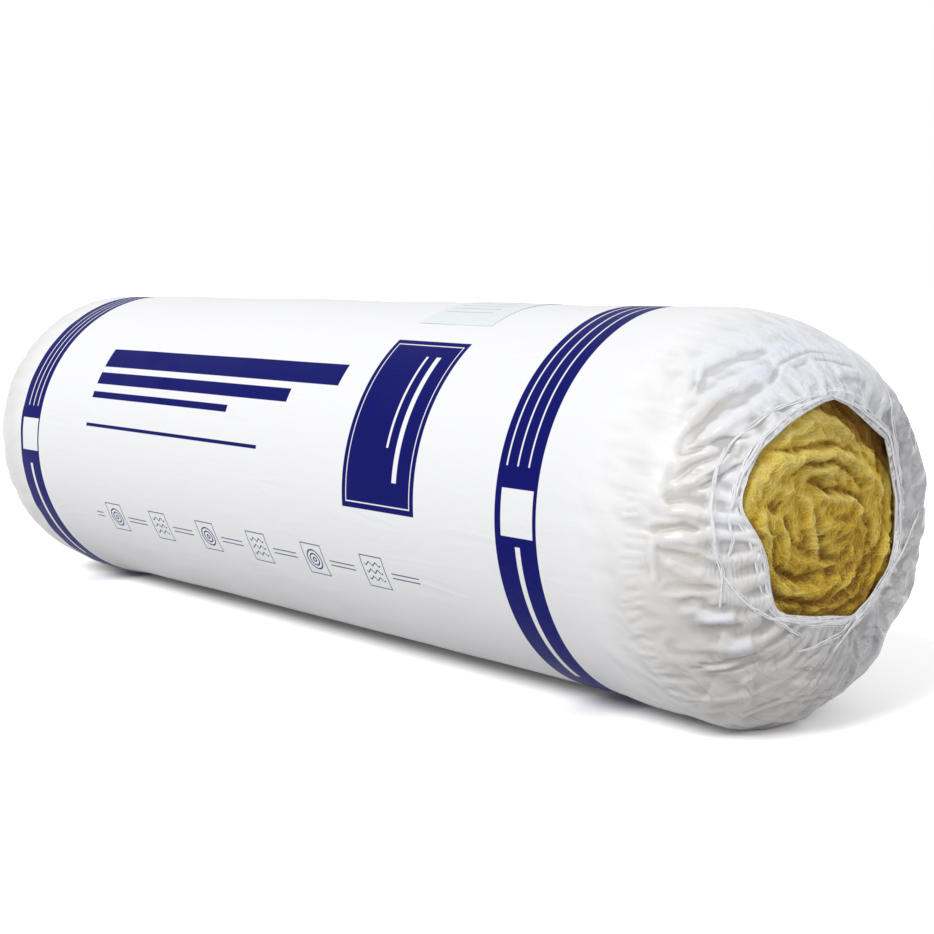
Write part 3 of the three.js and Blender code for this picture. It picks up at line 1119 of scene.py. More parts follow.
# %% Layout of the print, in millimetres
ALL_ROUND = 600.0
BANDS = [(394.5, 0.0, 25.5, ALL_ROUND), (-478.5, 0.0, 23.5, ALL_ROUND)]
EMPTY_FIELDS = [(396.0, 7.5, 19.5, 21.0), (-477.0, 12.5, 19.0, 20.0)]
FINE_LINES = [(middle, 168.0, 0.9, 120.0) for middle in (378.5, 392.0, 405.5, -488.0, -477.0, -466.0)]
LOW_LINES = [(396.0, -98.0, 3.0, 76.0), (-477.0, -96.0, 2.6, 72.0)]
PLATE = (208.0, 79.0, 52.5, 90.0)
PLATE_RULE = (208.0, 79.0, 47.0, 84.5)
PLATE_LINES = [(232.0, 83.0, 3.2, 65.0), (216.0, 99.0, 1.5, 49.0)]
LINES_LEFT = -342.0
LARGE_LINES = [(112.0, 119.0, 12.5), (40.0, 91.5, 7.5), (-60.0, 70.5, 4.0), (7.0, 34.0, 2.0)]
print("white shapes:", len(EMPTY_FIELDS + FINE_LINES + LOW_LINES + PLATE_LINES) + 1)

# %% One sign of the row
SIGN_STEP = 96.5
ROW_LEFT = 350.25
ROW_HEIGHT = -77.0
SIGN_MIDDLE = 51.75
SIGN_FRAME = (SIGN_MIDDLE, ROW_HEIGHT, 17.0, 18.5)
SIGN_FIELD = (SIGN_MIDDLE, ROW_HEIGHT, 12.0, 12.5)
ROW = (-43.0, ROW_HEIGHT, 302.0, 40.0)
LINKS = [(middle, height, 20.0, 0.6) for middle in (97.5, 1.0) for height in (-74.5, -79.5)]


def rings(nodes, right, up):
    """Rings round one middle, as the turns of a roll."""
    squares = nodes.math("ADD", nodes.math("MULTIPLY", right, right), nodes.math("MULTIPLY", up, up))
    reach = nodes.math("SQRT", squares)
    wave = nodes.math("ABSOLUTE", nodes.math("SUBTRACT", nodes.math("PINGPONG", reach, 4.5), 2.2))
    return nodes.math("MULTIPLY", nodes.math("LESS_THAN", wave, 0.8), nodes.math("LESS_THAN", reach, 12.5))


def waves(nodes, right, up):
    """Bent lines one over the other, as layers."""
    bend = nodes.math("MULTIPLY", nodes.math("PINGPONG", right, 5.0), 0.9)
    wave = nodes.math("PINGPONG", nodes.math("ADD", nodes.math("SUBTRACT", up, bend), 60.0), 4.2)
    return nodes.math("LESS_THAN", wave, 0.75)


def sign_row(nodes, along, around):
    """Framed signs in a row, rings and waves by turns, with two thin lines between them."""
    shifted = nodes.math("ADD", along, ROW_LEFT)
    cell = nodes.math("FLOORED_MODULO", shifted, SIGN_STEP)
    number = nodes.math("FLOOR", nodes.math("DIVIDE", shifted, SIGN_STEP))
    odd = nodes.math("FLOORED_MODULO", number, 2.0)
    right = nodes.math("SUBTRACT", cell, SIGN_MIDDLE)
    up = nodes.math("SUBTRACT", around, ROW_HEIGHT)
    field = bar(nodes, cell, around, SIGN_FIELD)
    turns = less(nodes, rings(nodes, right, up), odd)
    layers = nodes.math("MULTIPLY", nodes.math("MULTIPLY", waves(nodes, right, up), field), odd)
    shapes = [outline(nodes, cell, around, SIGN_FRAME, 1.1), turns, layers]
    shapes += [bar(nodes, cell, around, link) for link in LINKS]
    return nodes.math("MULTIPLY", any_of(nodes, shapes), bar(nodes, along, around, ROW))


print("signs in the row:", round(2 * ROW[2] / SIGN_STEP))

# %% Group: the sleeve's whole print
print_group, n, given, out = new_group(
    "Sleeve print", [("Along", FLOAT, 0.0), ("Round", FLOAT, 0.0)], [("Ink", FLOAT)])
along_mm = given["Along"]
round_mm = given["Round"]
ink = [bar(n, along_mm, round_mm, shape) for shape in BANDS + [PLATE]]
for right, middle, half in LARGE_LINES:
    shape = ((right + LINES_LEFT) / 2, middle, (right - LINES_LEFT) / 2, half)
    ink.append(bar(n, along_mm, round_mm, shape))
ink.append(sign_row(n, along_mm, round_mm))
bare = [bar(n, along_mm, round_mm, shape) for shape in EMPTY_FIELDS + FINE_LINES + LOW_LINES + PLATE_LINES]
bare.append(outline(n, along_mm, round_mm, PLATE_RULE, 1.2))
n.feed(out["Ink"], less(n, any_of(n, ink), any_of(n, bare)))
print("print group nodes:", len(print_group.nodes))

# %% [markdown]
# Thin film is never quite still: it has fine crinkles where it was drawn tight, facets where
# it was crumpled and sharp creases from handling. They are too fine for the mesh, so they are
# bump: each is a texture turned into a height, and the heights are added up.

# %% Helpers: textures on a flat map


def noise_at(nodes, vector, scale, detail=3.0, distortion=0.0, rough=0.5, space="3D"):
    """Smooth noise from 0 to 1."""
    node = nodes.add("ShaderNodeTexNoise", noise_dimensions=space)
    nodes.feed(node.inputs["Vector"], vector)
    nodes.feed(node.inputs["Scale"], scale)
    nodes.feed(node.inputs["Detail"], detail)
    nodes.feed(node.inputs["Roughness"], rough)
    nodes.feed(node.inputs["Distortion"], distortion)
    return node.outputs["Fac"]


def stretched(nodes, vector, scale, turn=(0.0, 0.0, 0.0)):
    """A vector scaled and turned."""
    node = nodes.add("ShaderNodeMapping")
    nodes.feed(node.inputs["Vector"], vector)
    node.inputs["Scale"].default_value = scale
    node.inputs["Rotation"].default_value = turn
    return node.outputs[0]


def warped(nodes, vector, scale, amount):
    """Bends a vector by smooth noise."""
    node = nodes.add("ShaderNodeTexNoise", noise_dimensions="2D")
    nodes.feed(node.inputs["Vector"], vector)
    nodes.feed(node.inputs["Scale"], scale)
    nodes.feed(node.inputs["Detail"], 1.0)
    moved = nodes.add("ShaderNodeVectorMath", operation="MULTIPLY_ADD")
    nodes.feed(moved.inputs[0], node.outputs["Color"])
    moved.inputs[1].default_value = (amount, amount, amount)
    nodes.feed(moved.inputs[2], vector)
    return moved.outputs[0]


def facets(nodes, vector, scale):
    """Cones that meet in sharp valleys, as the facets of crumpled film do."""
    node = nodes.add("ShaderNodeTexVoronoi", voronoi_dimensions="2D")
    nodes.feed(node.inputs["Vector"], vector)
    nodes.feed(node.inputs["Scale"], scale)
    return node.outputs["Distance"]


def crease(nodes, value, sharp):
    """A ridge where noise crosses its middle."""
    away = nodes.math("ABSOLUTE", nodes.math("SUBTRACT", value, 0.5))
    return nodes.math("SUBTRACT", 1.0, nodes.math("MULTIPLY", away, sharp), clamp=True)


def raised(nodes, value, where, strength, height):
    """Adds a value to a height, as strong as where says."""
    return nodes.math("MULTIPLY_ADD", nodes.math("MULTIPLY", value, where), strength, height)


print("textures:", [helper.__name__ for helper in (noise_at, stretched, warped, facets, crease)])

# %% Group: fine crinkles
crinkle_group, n, given, out = new_group(
    "Film crinkle",
    [("Vector", VECTOR, None), ("Crumple", FLOAT, 0.0), ("Pleats", FLOAT, 0.0), ("Drawn", FLOAT, 0.0)],
    [("Height", FLOAT), ("Patch", FLOAT)])
where = given["Vector"]
patch = noise_at(n, where, 13.0, 1.0, space="2D")
bent = warped(n, where, 60.0, 0.010)
long_way = noise_at(n, stretched(n, where, (26.0, 7.0, 1.0)), 1.0, 2.0, 0.8, space="2D")
height = n.math("MULTIPLY", crease(n, long_way, 5.0), n.ramp(patch, 0.42, 0.66, 0.03, 0.14))
large = facets(n, stretched(n, bent, (1.0, 0.75, 1.0)), 78.0)
crumpled = n.math("MULTIPLY_ADD", facets(n, bent, 190.0), 0.5, large)
height = raised(n, crumpled, given["Crumple"], 0.45, height)
drawn = noise_at(n, stretched(n, bent, (15.0, 62.0, 1.0), (0.0, 0.0, 0.25)), 1.0, 1.0, space="2D")
height = raised(n, crease(n, drawn, 14.0), given["Drawn"], -0.35, height)
pleats = noise_at(n, stretched(n, bent, (22.0, 330.0, 1.0)), 1.0, 1.0, space="2D")
height = raised(n, pleats, given["Pleats"], 0.8, height)
fine = noise_at(n, where, 420.0, 2.0, space="2D")
n.feed(out["Height"], n.math("MULTIPLY_ADD", fine, 0.05, height))
n.feed(out["Patch"], patch)
print("crinkle group nodes:", len(crinkle_group.nodes))

# %% [markdown]
# White film is not one white. It is thin, so it takes some warmth from the wool under it, and
# the rest is painted light: it is brightest on the taut body, painted shade darkens its folds, the
# bags, their low side and the far side by the front mouth, and a painted bluish sheen and shade
# lies on the crown. The material first reads where it is, then mixes these colours over one
# another, and the ink comes last.

# %% Colours of the film
FILM_WHITE = (0.865, 0.868, 0.88, 1.0)
# Over wool, low, crown, far, in fold and cool hold painted shade, sheen or highlight; warm is wool colour
# with painted shade.
FILM_OVER_WOOL_AND_SHADE = (0.715, 0.695, 0.675, 1.0)
FILM_LOW_SIDE_SHADE = (0.58, 0.557, 0.545, 1.0)
FILM_CROWN_SHEEN_AND_SHADE = (0.72, 0.76, 0.83, 1.0)
FILM_FAR_SIDE_SHADE = (0.39, 0.39, 0.425, 1.0)
FILM_FOLD_SHADE = (0.36, 0.35, 0.35, 1.0)
FILM_WARM_WOOL_AND_SHADE = (0.68, 0.61, 0.53, 1.0)
FILM_COOL_HIGHLIGHT = (0.80, 0.83, 0.93, 1.0)
FILM_DOUBLED = (0.84, 0.85, 0.875, 1.0)
NAVY = (0.0045, 0.0065, 0.13, 1.0)


def new_material(name):
    """A material with its nodes ready to wire, and its Principled shader."""
    material = bpy.data.materials.new(name)
    material.use_nodes = True
    nodes = Nodes(material.node_tree)
    shader = material.node_tree.nodes["Principled BSDF"]
    return material, nodes, shader


def in_mm(nodes, vector):
    """The first two numbers of a vector, in millimetres."""
    split = nodes.add("ShaderNodeSeparateXYZ")
    nodes.feed(split.inputs[0], vector)
    return [nodes.math("MULTIPLY", split.outputs[k], 1000.0) for k in (0, 1)]


def written_value(nodes, name):
    """A number that was written on the mesh's points."""
    return nodes.add("ShaderNodeAttribute", attribute_name=name).outputs["Fac"]


film_material, n, shader = new_material("printed_film")
print_map = n.add("ShaderNodeUVMap", uv_map="print").outputs[0]
cut_map = n.add("ShaderNodeUVMap", uv_map="cut").outputs[0]
along_mm, round_mm = in_mm(n, print_map)
cut_mm = in_mm(n, cut_map)[1]
ink = n.group(print_group, Along=along_mm, Round=round_mm).outputs["Ink"]
print("nodes at the start:", len(film_material.node_tree.nodes))

# %% Where the film is what
# Places are millimetres of film along the roll (cut_mm) or round it (round_mm, up from its
# front side). The crown's middle is 300 mm round.
CROWN = 300.0
UNDERSIDE = -330.0
PLEATED = -62.0


def near_line(nodes, value, middle, outer, inner):
    """1 within inner of a middle, and 0 past outer."""
    return nodes.ramp(nodes.math("ABSOLUTE", nodes.math("SUBTRACT", value, middle)), outer, inner)


lift_value = written_value(n, "lift")
edge_value = written_value(n, "edge")
fold_value = written_value(n, "fold")
warmth_and_light_value = written_value(n, "warmth_and_light")
valley = n.ramp(lift_value, 1.4, -1.0)
bag = n.ramp(cut_mm, 495.0, 570.0)
either_bag = n.ramp(n.math("ABSOLUTE", cut_mm), 490.0, 575.0)
near_mouth = n.ramp(cut_mm, 575.0, 620.0)
low_side = n.ramp(round_mm, 40.0, -120.0)
crown = near_line(n, round_mm, CROWN, 215.0, 95.0)
far_side = n.math("MAXIMUM", n.ramp(round_mm, -290.0, -380.0), n.ramp(round_mm, 330.0, 420.0))
beyond = n.math("MAXIMUM", n.ramp(round_mm, -220.0, -330.0), n.ramp(round_mm, 300.0, 420.0))
cool_side = n.math("MAXIMUM", crown, far_side)
print("nodes with the masks:", len(film_material.node_tree.nodes))

# %% Crinkles by place
crumple = n.math("MULTIPLY", either_bag, n.math("MULTIPLY_ADD", crown, 1.0, 0.2))
by_mouth = n.math("MULTIPLY", n.ramp(edge_value, 62.0, 44.0), bag)
pleats = n.math("MULTIPLY", near_line(n, round_mm, PLEATED, 75.0, 45.0), by_mouth)
under_side = near_line(n, round_mm, UNDERSIDE, 250.0, 150.0)
drawn = n.math("MULTIPLY", bag, n.math("MAXIMUM", under_side, far_side))
crinkle = n.group(crinkle_group, Vector=cut_map, Crumple=crumple, Pleats=pleats, Drawn=drawn)
patch = crinkle.outputs["Patch"]
print("nodes with the crinkles:", len(film_material.node_tree.nodes))

# %% The film's colour, layer by layer
# Thin film over wool, on the whole bag and more in its valleys: partly the wool's colour, partly painted
# shade.
tint = n.math("MULTIPLY", n.math("MULTIPLY_ADD", valley, 0.4, 0.6), either_bag)
white = n.blend(tint, FILM_WHITE, FILM_OVER_WOOL_AND_SHADE)
# Painted shade on the low side of the bags.
tint = n.math("MULTIPLY", n.math("MULTIPLY", low_side, either_bag), 0.75)
white = n.blend(tint, white, FILM_LOW_SIDE_SHADE)
# Painted bluish sheen and shade on the crown.
tint = n.math("MULTIPLY", bag, n.ramp(patch, 0.3, 0.6, 0.5, 0.95))
white = n.blend(n.math("MULTIPLY", tint, crown), white, FILM_CROWN_SHEEN_AND_SHADE)
# Painted shade on the far side near the front mouth.
tint = n.math("MULTIPLY", n.math("MULTIPLY", tint, beyond), near_mouth)
white = n.blend(tint, white, FILM_FAR_SIDE_SHADE)
# Warm strokes: wool colour and painted shade; cool strokes: painted bluish highlights.
white = n.blend(n.ramp(warmth_and_light_value, 0.05, 1.0, 0.0, 0.85), white, FILM_WARM_WOOL_AND_SHADE)
white = n.blend(n.ramp(warmth_and_light_value, -0.05, -1.0, 0.0, 0.85), white, FILM_COOL_HIGHLIGHT)
# Painted shade in the folds.
shaded = n.math("MULTIPLY", n.ramp(fold_value, 0.1, -1.3), n.math("MULTIPLY_ADD", bag, 0.4, 0.2))
white = n.blend(shaded, white, FILM_FOLD_SHADE)
white = n.blend(n.ramp(edge_value, 13.0, 3.0, 0.0, 0.7), white, FILM_DOUBLED)
n.feed(shader.inputs["Base Color"], n.blend(ink, white, NAVY))
print("nodes with the colour:", len(film_material.node_tree.nodes))

# %% Gloss and bump of the film
n.feed(shader.inputs["Roughness"], n.ramp(patch, 0.3, 0.7, 0.4, 0.52))
gloss = n.math("MULTIPLY_ADD", cool_side, 0.35, n.ramp(patch, 0.3, 0.6, 0.3, 0.55))
n.feed(shader.inputs["Coat Weight"], n.math("MULTIPLY", either_bag, gloss))
shader.inputs["Coat Roughness"].default_value = 0.24
shader.inputs["Specular IOR Level"].default_value = 0.04


def bumped(nodes, shader, height, distance, strength=1.0):
    """Feeds a height to a shader's normal; distance is in metres."""
    bump = nodes.add("ShaderNodeBump")
    bump.inputs["Distance"].default_value = distance
    bump.inputs["Strength"].default_value = strength
    nodes.feed(bump.inputs["Height"], height)
    nodes.feed(shader.inputs["Normal"], bump.outputs[0])


def give(material, *pieces):
    """Puts a finished material on its pieces."""
    for piece in pieces:
        piece.data.materials.append(material)
    print(material.name, "has", len(material.node_tree.nodes), "nodes")


bumped(n, shader, crinkle.outputs["Height"], 0.003, 0.75)
give(film_material, film)

# %% [markdown]
# The film's rolled edges and taut threads of film catch the light round a mouth. They are
# narrower than the film's grid, so they are thin tubes that lie on it. Curves with a bevel
# would be shorter to write, but they are round, and torn film is flat and uneven.

# %% Helpers: one strand
STRAND_SIDES = 6
STRAND_STEPS = 48
FLATNESS = 0.42


def closed_faces(rows, columns):
    """Faces of a grid that closes on itself round its columns."""
    row, column = np.meshgrid(np.arange(rows - 1), np.arange(columns), indexing="ij")
    here = row * columns
    after = (column + 1) % columns
    corners = [here + column, here + columns + column, here + columns + after, here + after]
    return np.stack(corners, -1).reshape(-1, 4)


def smoothed_line(path, normals):
    """A line in equal steps, smoothed, with its normals and the length up to each step."""
    reach = np.concatenate([[0], np.cumsum(np.linalg.norm(np.diff(path, axis=0), axis=1))])
    want = np.linspace(0, reach[-1], STRAND_STEPS)
    line = np.stack([np.interp(want, reach, path[:, k]) for k in range(3)], 1)
    up = np.stack([np.interp(want, reach, normals[:, k]) for k in range(3)], 1)
    for _ in range(5):
        line[1:-1] = 0.25 * line[:-2] + 0.5 * line[1:-1] + 0.25 * line[2:]
        up[1:-1] = 0.25 * up[:-2] + 0.5 * up[1:-1] + 0.25 * up[2:]
    up /= np.linalg.norm(up, axis=1, keepdims=True)
    return line, up, want


def strand(path, normals, radius, aside, sway, seed):
    """Points and faces of a thin flat strand that keeps to the film and sways to the side."""
    line, up, want = smoothed_line(path, normals)
    side = np.cross(up, np.gradient(line, axis=0))
    side /= np.linalg.norm(side, axis=1, keepdims=True)

    def uneven(length, place, along=0.0):
        return noise(stack(want / length, along + 0 * want, place), seed)

    drift = (aside + sway * uneven(24.0, 0.0, 5.0)) * (0.3 + 0.7 * np.sin(np.pi * want / want[-1]))
    drift = drift + 0.35 * uneven(7.0, 3.0)
    line = line + drift[:, None] * side + (0.35 * radius * uneven(9.0, 6.0))[:, None] * up
    ends = np.sqrt(np.clip(np.minimum(want, want[-1] - want) / 8.0, 0.02, 1.0))
    size = (radius * (1 + 0.45 * uneven(6.0, 9.0)) * ends)[:, None, None]
    turn = np.linspace(0, 2 * np.pi, STRAND_SIDES, endpoint=False)[None, :, None]
    ring = line[:, None] + size * (np.cos(turn) * side[:, None] + FLATNESS * np.sin(turn) * up[:, None])
    return ring.reshape(-1, 3), closed_faces(STRAND_STEPS, STRAND_SIDES)


print("triangles of a strand:", 2 * len(closed_faces(STRAND_STEPS, STRAND_SIDES)))

# %% Helpers: bundles of strands
STRAND_WIDTH = 0.72


def bundles(name, lines, seed):
    """Each line becomes a bundle of strands, from wide and flat to thin and loose."""
    random = np.random.default_rng(seed)
    all_points = []
    all_faces = []
    count = 0
    for path, normals, radius, spread, strands in lines:
        for k in range(strands + 1):
            aside = spread * random.uniform(-1.0, 1.0)
            size = STRAND_WIDTH * radius * (1.0 if k == 0 else random.uniform(0.3, 0.8))
            own_seed = int(random.integers(1, 9999))
            points, faces = strand(path, normals, size, aside, 0.7 * spread, own_seed)
            all_points.append(points)
            all_faces.append(faces + count)
            count += len(points)
    return write_mesh(name, np.concatenate(all_points), np.concatenate(all_faces))


def on_film(line, base, film, lift):
    """A taut thread goes from crest to crest, so it keeps to the highest film near it."""
    line = np.asarray(line, float).copy()
    line[:, 2] += FRONT_END["axis"]
    steps = [np.linspace(a, b, 10, endpoint=False) for a, b in zip(line[:-1], line[1:])]
    dense = np.concatenate(steps + [line[-1:]])
    normal = outward(base, 1).reshape(-1, 3)
    flat = film.reshape(-1, 3)
    ground = base.reshape(-1, 3)
    spots = []
    ups = []
    crests = []
    for point in dense:
        gap = ((ground - point) ** 2).sum(1)
        centre = gap.argmin()
        up = normal[centre]
        near = gap < 16.0
        near[centre] = True
        crests.append(((flat[near] - ground[centre]) @ up).max())
        across = point - ground[centre]
        spots.append(ground[centre] + across - (across @ up) * up)
        ups.append(up)
    wide = np.pad(crests, 2, mode="edge")
    crests = np.max([wide[k:k + len(dense)] for k in range(5)], axis=0)
    crests = np.convolve(np.pad(crests, 2, mode="edge"), np.full(5, 0.2), mode="valid")
    return np.array(spots) + (crests + lift)[:, None] * np.array(ups), np.array(ups)


print("strands are about", 2 * STRAND_WIDTH, "mm wide")

# %% [markdown]
# The threads round the front mouth were drawn where such film tears and pulls: round
# the corners, and across the film below it. Each is a few corners, and the film under them
# gives the rest. Along both mouths' edges more of them lie at random.

# %% Threads of film
# Corners of each thread (along, across, up from the axis), its width and spread, and its
# number of strands.
THREADS = [
    ([(580, -128, 75), (579, -140, 54), (581, -146, 27), (585, -145, -4), (589, -139, -24),
      (584, -137, -51)], 1.0, 1.8, 4),
    ([(589, -139, -24), (597, -120, -47), (603, -95, -61), (605, -59, -82)], 0.9, 2.0, 4),
    ([(590, -138, 24), (594, -133, 5), (591, -137, -13)], 0.9, 2.2, 4),
    ([(590, -134, 27), (592, -126, 54), (596, -105, 83), (602, -70, 103), (606, -34, 112)], 1.2, 2.6, 5),
    ([(580, -138, 60), (584, -124, 82), (592, -101, 98), (600, -70, 109), (605, -42, 113)], 0.9, 2.4, 4),
    ([(606, -30, 113), (607, 8, 102), (607, 54, 76), (607, 62, 52), (607, 72, 22),
      (607, 74, -14)], 1.2, 2.2, 5),
    ([(604, 50, 109), (607, 55, 92), (607, 65, 62), (607, 73, 32)], 0.9, 2.0, 4),
    ([(607, 101, 6), (607, 84, -22), (607, 59, -44), (607, 26, -70), (607, -5, -90),
      (605, -17, -103)], 1.0, 2.6, 5),
    ([(603, -95, -60), (607, -61, -70), (607, -6, -78), (607, 10, -75)], 1.2, 1.6, 4),
    ([(607, 10, -75), (607, -9, -87), (605, -43, -92), (603, -62, -94)], 0.9, 2.2, 4),
]
THREAD_LIFT = 0.1


def hem_lines(end, film, count, seed):
    """Lines that run beside a mouth's edge, where the film is rolled and drawn tight."""
    random = np.random.default_rng(seed)
    rows, columns = film.shape[:2]
    spacing = reach_along(film)[-1].mean() / (rows - 1)
    normal = outward(film, end["side"])
    lines = []
    for k in range(count):
        first = int(random.integers(columns))
        column = first + np.arange(0, int(columns * random.uniform(0.10, 0.34)), 3)
        wander = noise(stack(column * 12.0 / columns, 7.0 * k, 0.0), seed)
        away = random.uniform(0.5, 10.0) + 3.0 * wander
        row = rows - 1 - np.clip(away, 0.3, 16.0) / spacing
        low = row.astype(int)
        part = (row - low)[:, None]
        column = column % columns
        spot = film[low, column] * (1 - part) + film[low + 1, column] * part
        up = normal[low, column]
        lines.append((spot + 0.35 * up, up, random.uniform(0.5, 1.0), 0.8, 2))
    return lines


smooth_front = base_surface(FRONT_END, FRONT_ROWS, FRONT_COLUMNS, FRONT_PULLS)[0]
laid = [(*on_film(line, smooth_front, front_film, THREAD_LIFT), width, spread, strands)
        for line, width, spread, strands in THREADS]
laid += hem_lines(FRONT_END, front_film, 22, 5) + hem_lines(BACK_END, back_film, 14, 6)
threads = bundles("film_threads", laid, 8)
print("threads:", len(laid), "triangles:", 2 * len(threads.data.polygons))

# %% Material of the threads
THREAD_DARK = (0.70, 0.71, 0.745, 1.0)
THREAD_PALE = (0.90, 0.905, 0.93, 1.0)

thread_material, n, shader = new_material("film_thread")
place = n.add("ShaderNodeTexCoord").outputs["Object"]
cloud = noise_at(n, place, 160.0, 3.0)
n.feed(shader.inputs["Base Color"], n.blend(cloud, THREAD_DARK, THREAD_PALE))
n.feed(shader.inputs["Roughness"], n.ramp(cloud, 0.3, 0.7, 0.3, 0.5))
bumped(n, shader, noise_at(n, place, 700.0, 2.0), 0.0004)
give(thread_material, threads)

# %% [markdown]
# In the mouths the mat shows end on. Its turns wind round a core that was folded over and
# squashed, so there is no open bore, and the turns near the core are crumpled. A spiral wave
# gives the turns. The crumples are drawn over it as crests and hollows, because noise alone
# makes a rock and not a mat.

# %% Crests and hollows of both ends
# Spots of (across, up) from the axis, half width, height.
FRONT_CRESTS = [
    ([(-60, 86.5), (-35, 91.5), (-5, 87.5), (20, 78.5), (45, 59.5)], 7.0, 3.5),
    ([(-119, 33.5), (-111, 43.5), (-99, 53.5), (-86, 62.5), (-68, 65.5), (-46, 67.5), (-20, 65.5),
      (3, 59.5), (21, 49.5), (38, 37.5), (49, 23.5), (52, 10.5)], 7.5, 6.0),
    ([(-44, 48.5), (-30, 51.5), (-14, 49.5)], 3.5, 5.0),
    ([(-36, 29.5), (-15, 29.5), (5, 27.5), (18, 21.5), (20, 13.5), (13, 5.5), (-6, 1.5),
      (-26, 5.5)], 6.5, 6.5),
    ([(-10, 15.5), (4, 15.5)], 7.0, 3.5),
    ([(-58, 31.5), (-48, 21.5), (-50, 7.5), (-41, -8.5), (-35, -16.5)], 5.0, 6.5),
    ([(-83, 13.5), (-79, -2.5), (-75, -17.5)], 3.6, 4.5),
    ([(-108, 21.5), (-104, 9.5), (-97, -2.5), (-92, -14.5)], 3.6, 4.0),
    ([(-90, 41.5), (-76, 37.5), (-66, 41.5)], 3.6, 3.5),
    ([(-77, -39.5), (-54, -45.5), (-34, -47.5), (-5, -44.5), (13, -34.5), (23, -24.5)], 6.5, 5.0),
    ([(58, -6.5), (61, -20.5), (56, -34.5)], 5.0, 3.5),
    ([(-60, -20.5), (-44, -24.5), (-24, -28.5), (-2, -28.5)], 4.0, 3.0),
    ([(4, -12.5), (12, -20.5), (14, -32.5)], 3.5, 3.0),
]
FRONT_HOLLOWS = [
    ([(-90, 71.5), (-64, 71.5), (-45, 72.5), (-22, 72.5), (0, 67.5), (18, 59.5)], 2.8, -4.5),
    ([(-70, 51.5), (-52, 54.5), (-36, 56.5), (-18, 55.5), (6, 50.5), (22, 41.5), (30, 31.5)], 2.4, -3.5),
    ([(-42, 41.5), (-30, 38.5)], 5.0, -4.5),
    ([(-26, 39.5), (-16, 32.5), (8, 29.5), (22, 24.5)], 3.6, -6.5),
    ([(24, 25.5), (29, 16.5), (33, 7.5), (39, -0.5)], 3.6, -5.0),
    ([(-42, 5.5), (-36, -4.5), (-27, -6.5), (-30, -15.5)], 2.8, -7.0),
    ([(-75, 15.5), (-72, 3.5), (-66, -8.5)], 3.0, -4.5),
    ([(-97, 29.5), (-88, 23.5), (-84, 28.5)], 2.4, -5.0),
    ([(-96, 5.5), (-90, -8.5), (-86, -20.5)], 2.6, -3.5),
    ([(-82, -25.5), (-63, -34.5), (-40, -37.5)], 3.6, -5.5),
    ([(-96, -40.5), (-77, -49.5), (-57, -56.5), (-32, -58.5), (-14, -56.5)], 3.0, -5.5),
    ([(-25, -18.5), (-12, -23.5)], 4.0, -4.5),
    ([(-20, -34.5), (-10, -36.5)], 3.0, -3.0),
    ([(42, -10.5), (45, -23.5), (36, -36.5), (23, -46.5)], 3.0, -4.5),
    ([(45, 31.5), (52, 15.5), (54, -0.5)], 2.4, -2.5),
]
BACK_CRESTS = [
    ([(-30, 20), (-8, 32), (18, 26), (30, 6), (22, -16)], 6.0, 6.0),
    ([(-18, 2), (2, 8), (14, -4)], 6.0, 7.0),
    ([(-40, -8), (-24, -26), (2, -34), (26, -30)], 6.0, 5.0),
]
BACK_HOLLOWS = [
    ([(-20, 14), (0, 19), (16, 10)], 4.0, -8.0),
    ([(-26, -8), (-8, -17), (10, -19)], 4.5, -8.0),
]
print("crests:", len(FRONT_CRESTS + BACK_CRESTS), "hollows:", len(FRONT_HOLLOWS + BACK_HOLLOWS))

# %% Relief of an end
CREST_STRENGTH = 1.15
HOLLOW_STRENGTH = 1.8


def turns_of_mat(across, up, core, seed):
    """The spiral of the mat's turns, bent a little, and calm near the crumpled core."""
    place = stack(across, up, 0.0)
    side = across + 5.0 * cloudy(place / 34.0, seed, 2) - core[0]
    rise = up + 5.0 * cloudy(place / 34.0, seed + 9, 2) - core[1]
    reach = np.hypot(side, rise)
    turn = np.arctan2(rise, side) / (2 * np.pi)
    wave = np.cos(2 * np.pi * (reach / TURN_THICKNESS - turn))
    ridge = 1.0 - (0.5 - 0.5 * wave) ** 2.0 * 1.6
    calm = 1.0 + 0.6 * noise(place / 25.0, seed + 3)
    return (1.2 + 1.6 * smoothstep(reach, 70.0, 100.0)) * ridge * calm * smoothstep(reach, 20.0, 60.0)


def wool_relief(across, up, core, strokes, seed):
    """Height of the crumpled turns over the flat of an end."""
    place = stack(across, up, 0.0)
    height = turns_of_mat(across, up, core, seed)
    height = height + 1.7 * cloudy(place / 16.0, seed + 5, 3, 0.55)
    tuft = 1.0 - 2.0 * np.abs(cloudy(place / 9.0, seed + 15, 2, 0.6))
    height = height + 1.1 * tuft * (0.6 + 0.6 * noise(place / 40.0, seed + 16))
    across = across + 3.0 * noise(place / 11.0, seed + 6)
    up = up + 3.0 * noise(place / 11.0, seed + 7)
    wander = stack(across, up)
    for line, width, tall in strokes:
        gap, share = line_distance(wander, line)
        taper = 0.55 + 0.45 * np.sin(np.pi * share)
        strength = CREST_STRENGTH if tall > 0 else HOLLOW_STRENGTH
        height = height + strength * tall * taper * np.exp(-(gap / width) ** 2)
    return height


print("one turn of the mat is", TURN_THICKNESS, "mm thick")

# %% [markdown]
# Each end also has a broad form: it lies a little behind the film's mouth, dishes away from
# its core and keeps clear of the hem. Under the film's shoulder the relief fades out.

# %% Height of both ends


def hem_gap(end, across, up):
    """Distance from a place on the wool out to the mouth's edge."""
    return mouth_radius(end, np.arctan2(up, -across)) - np.hypot(across, up)


def front_corner(across, up):
    """1 along the upper corner of the mouth, where the film stands away from the wool."""
    inside = smoothstep(up, 30.0, 60.0) * smoothstep(across, -40.0, -5.0)
    return inside * smoothstep(hem_gap(FRONT_END, across, up), 20.0, 7.0)


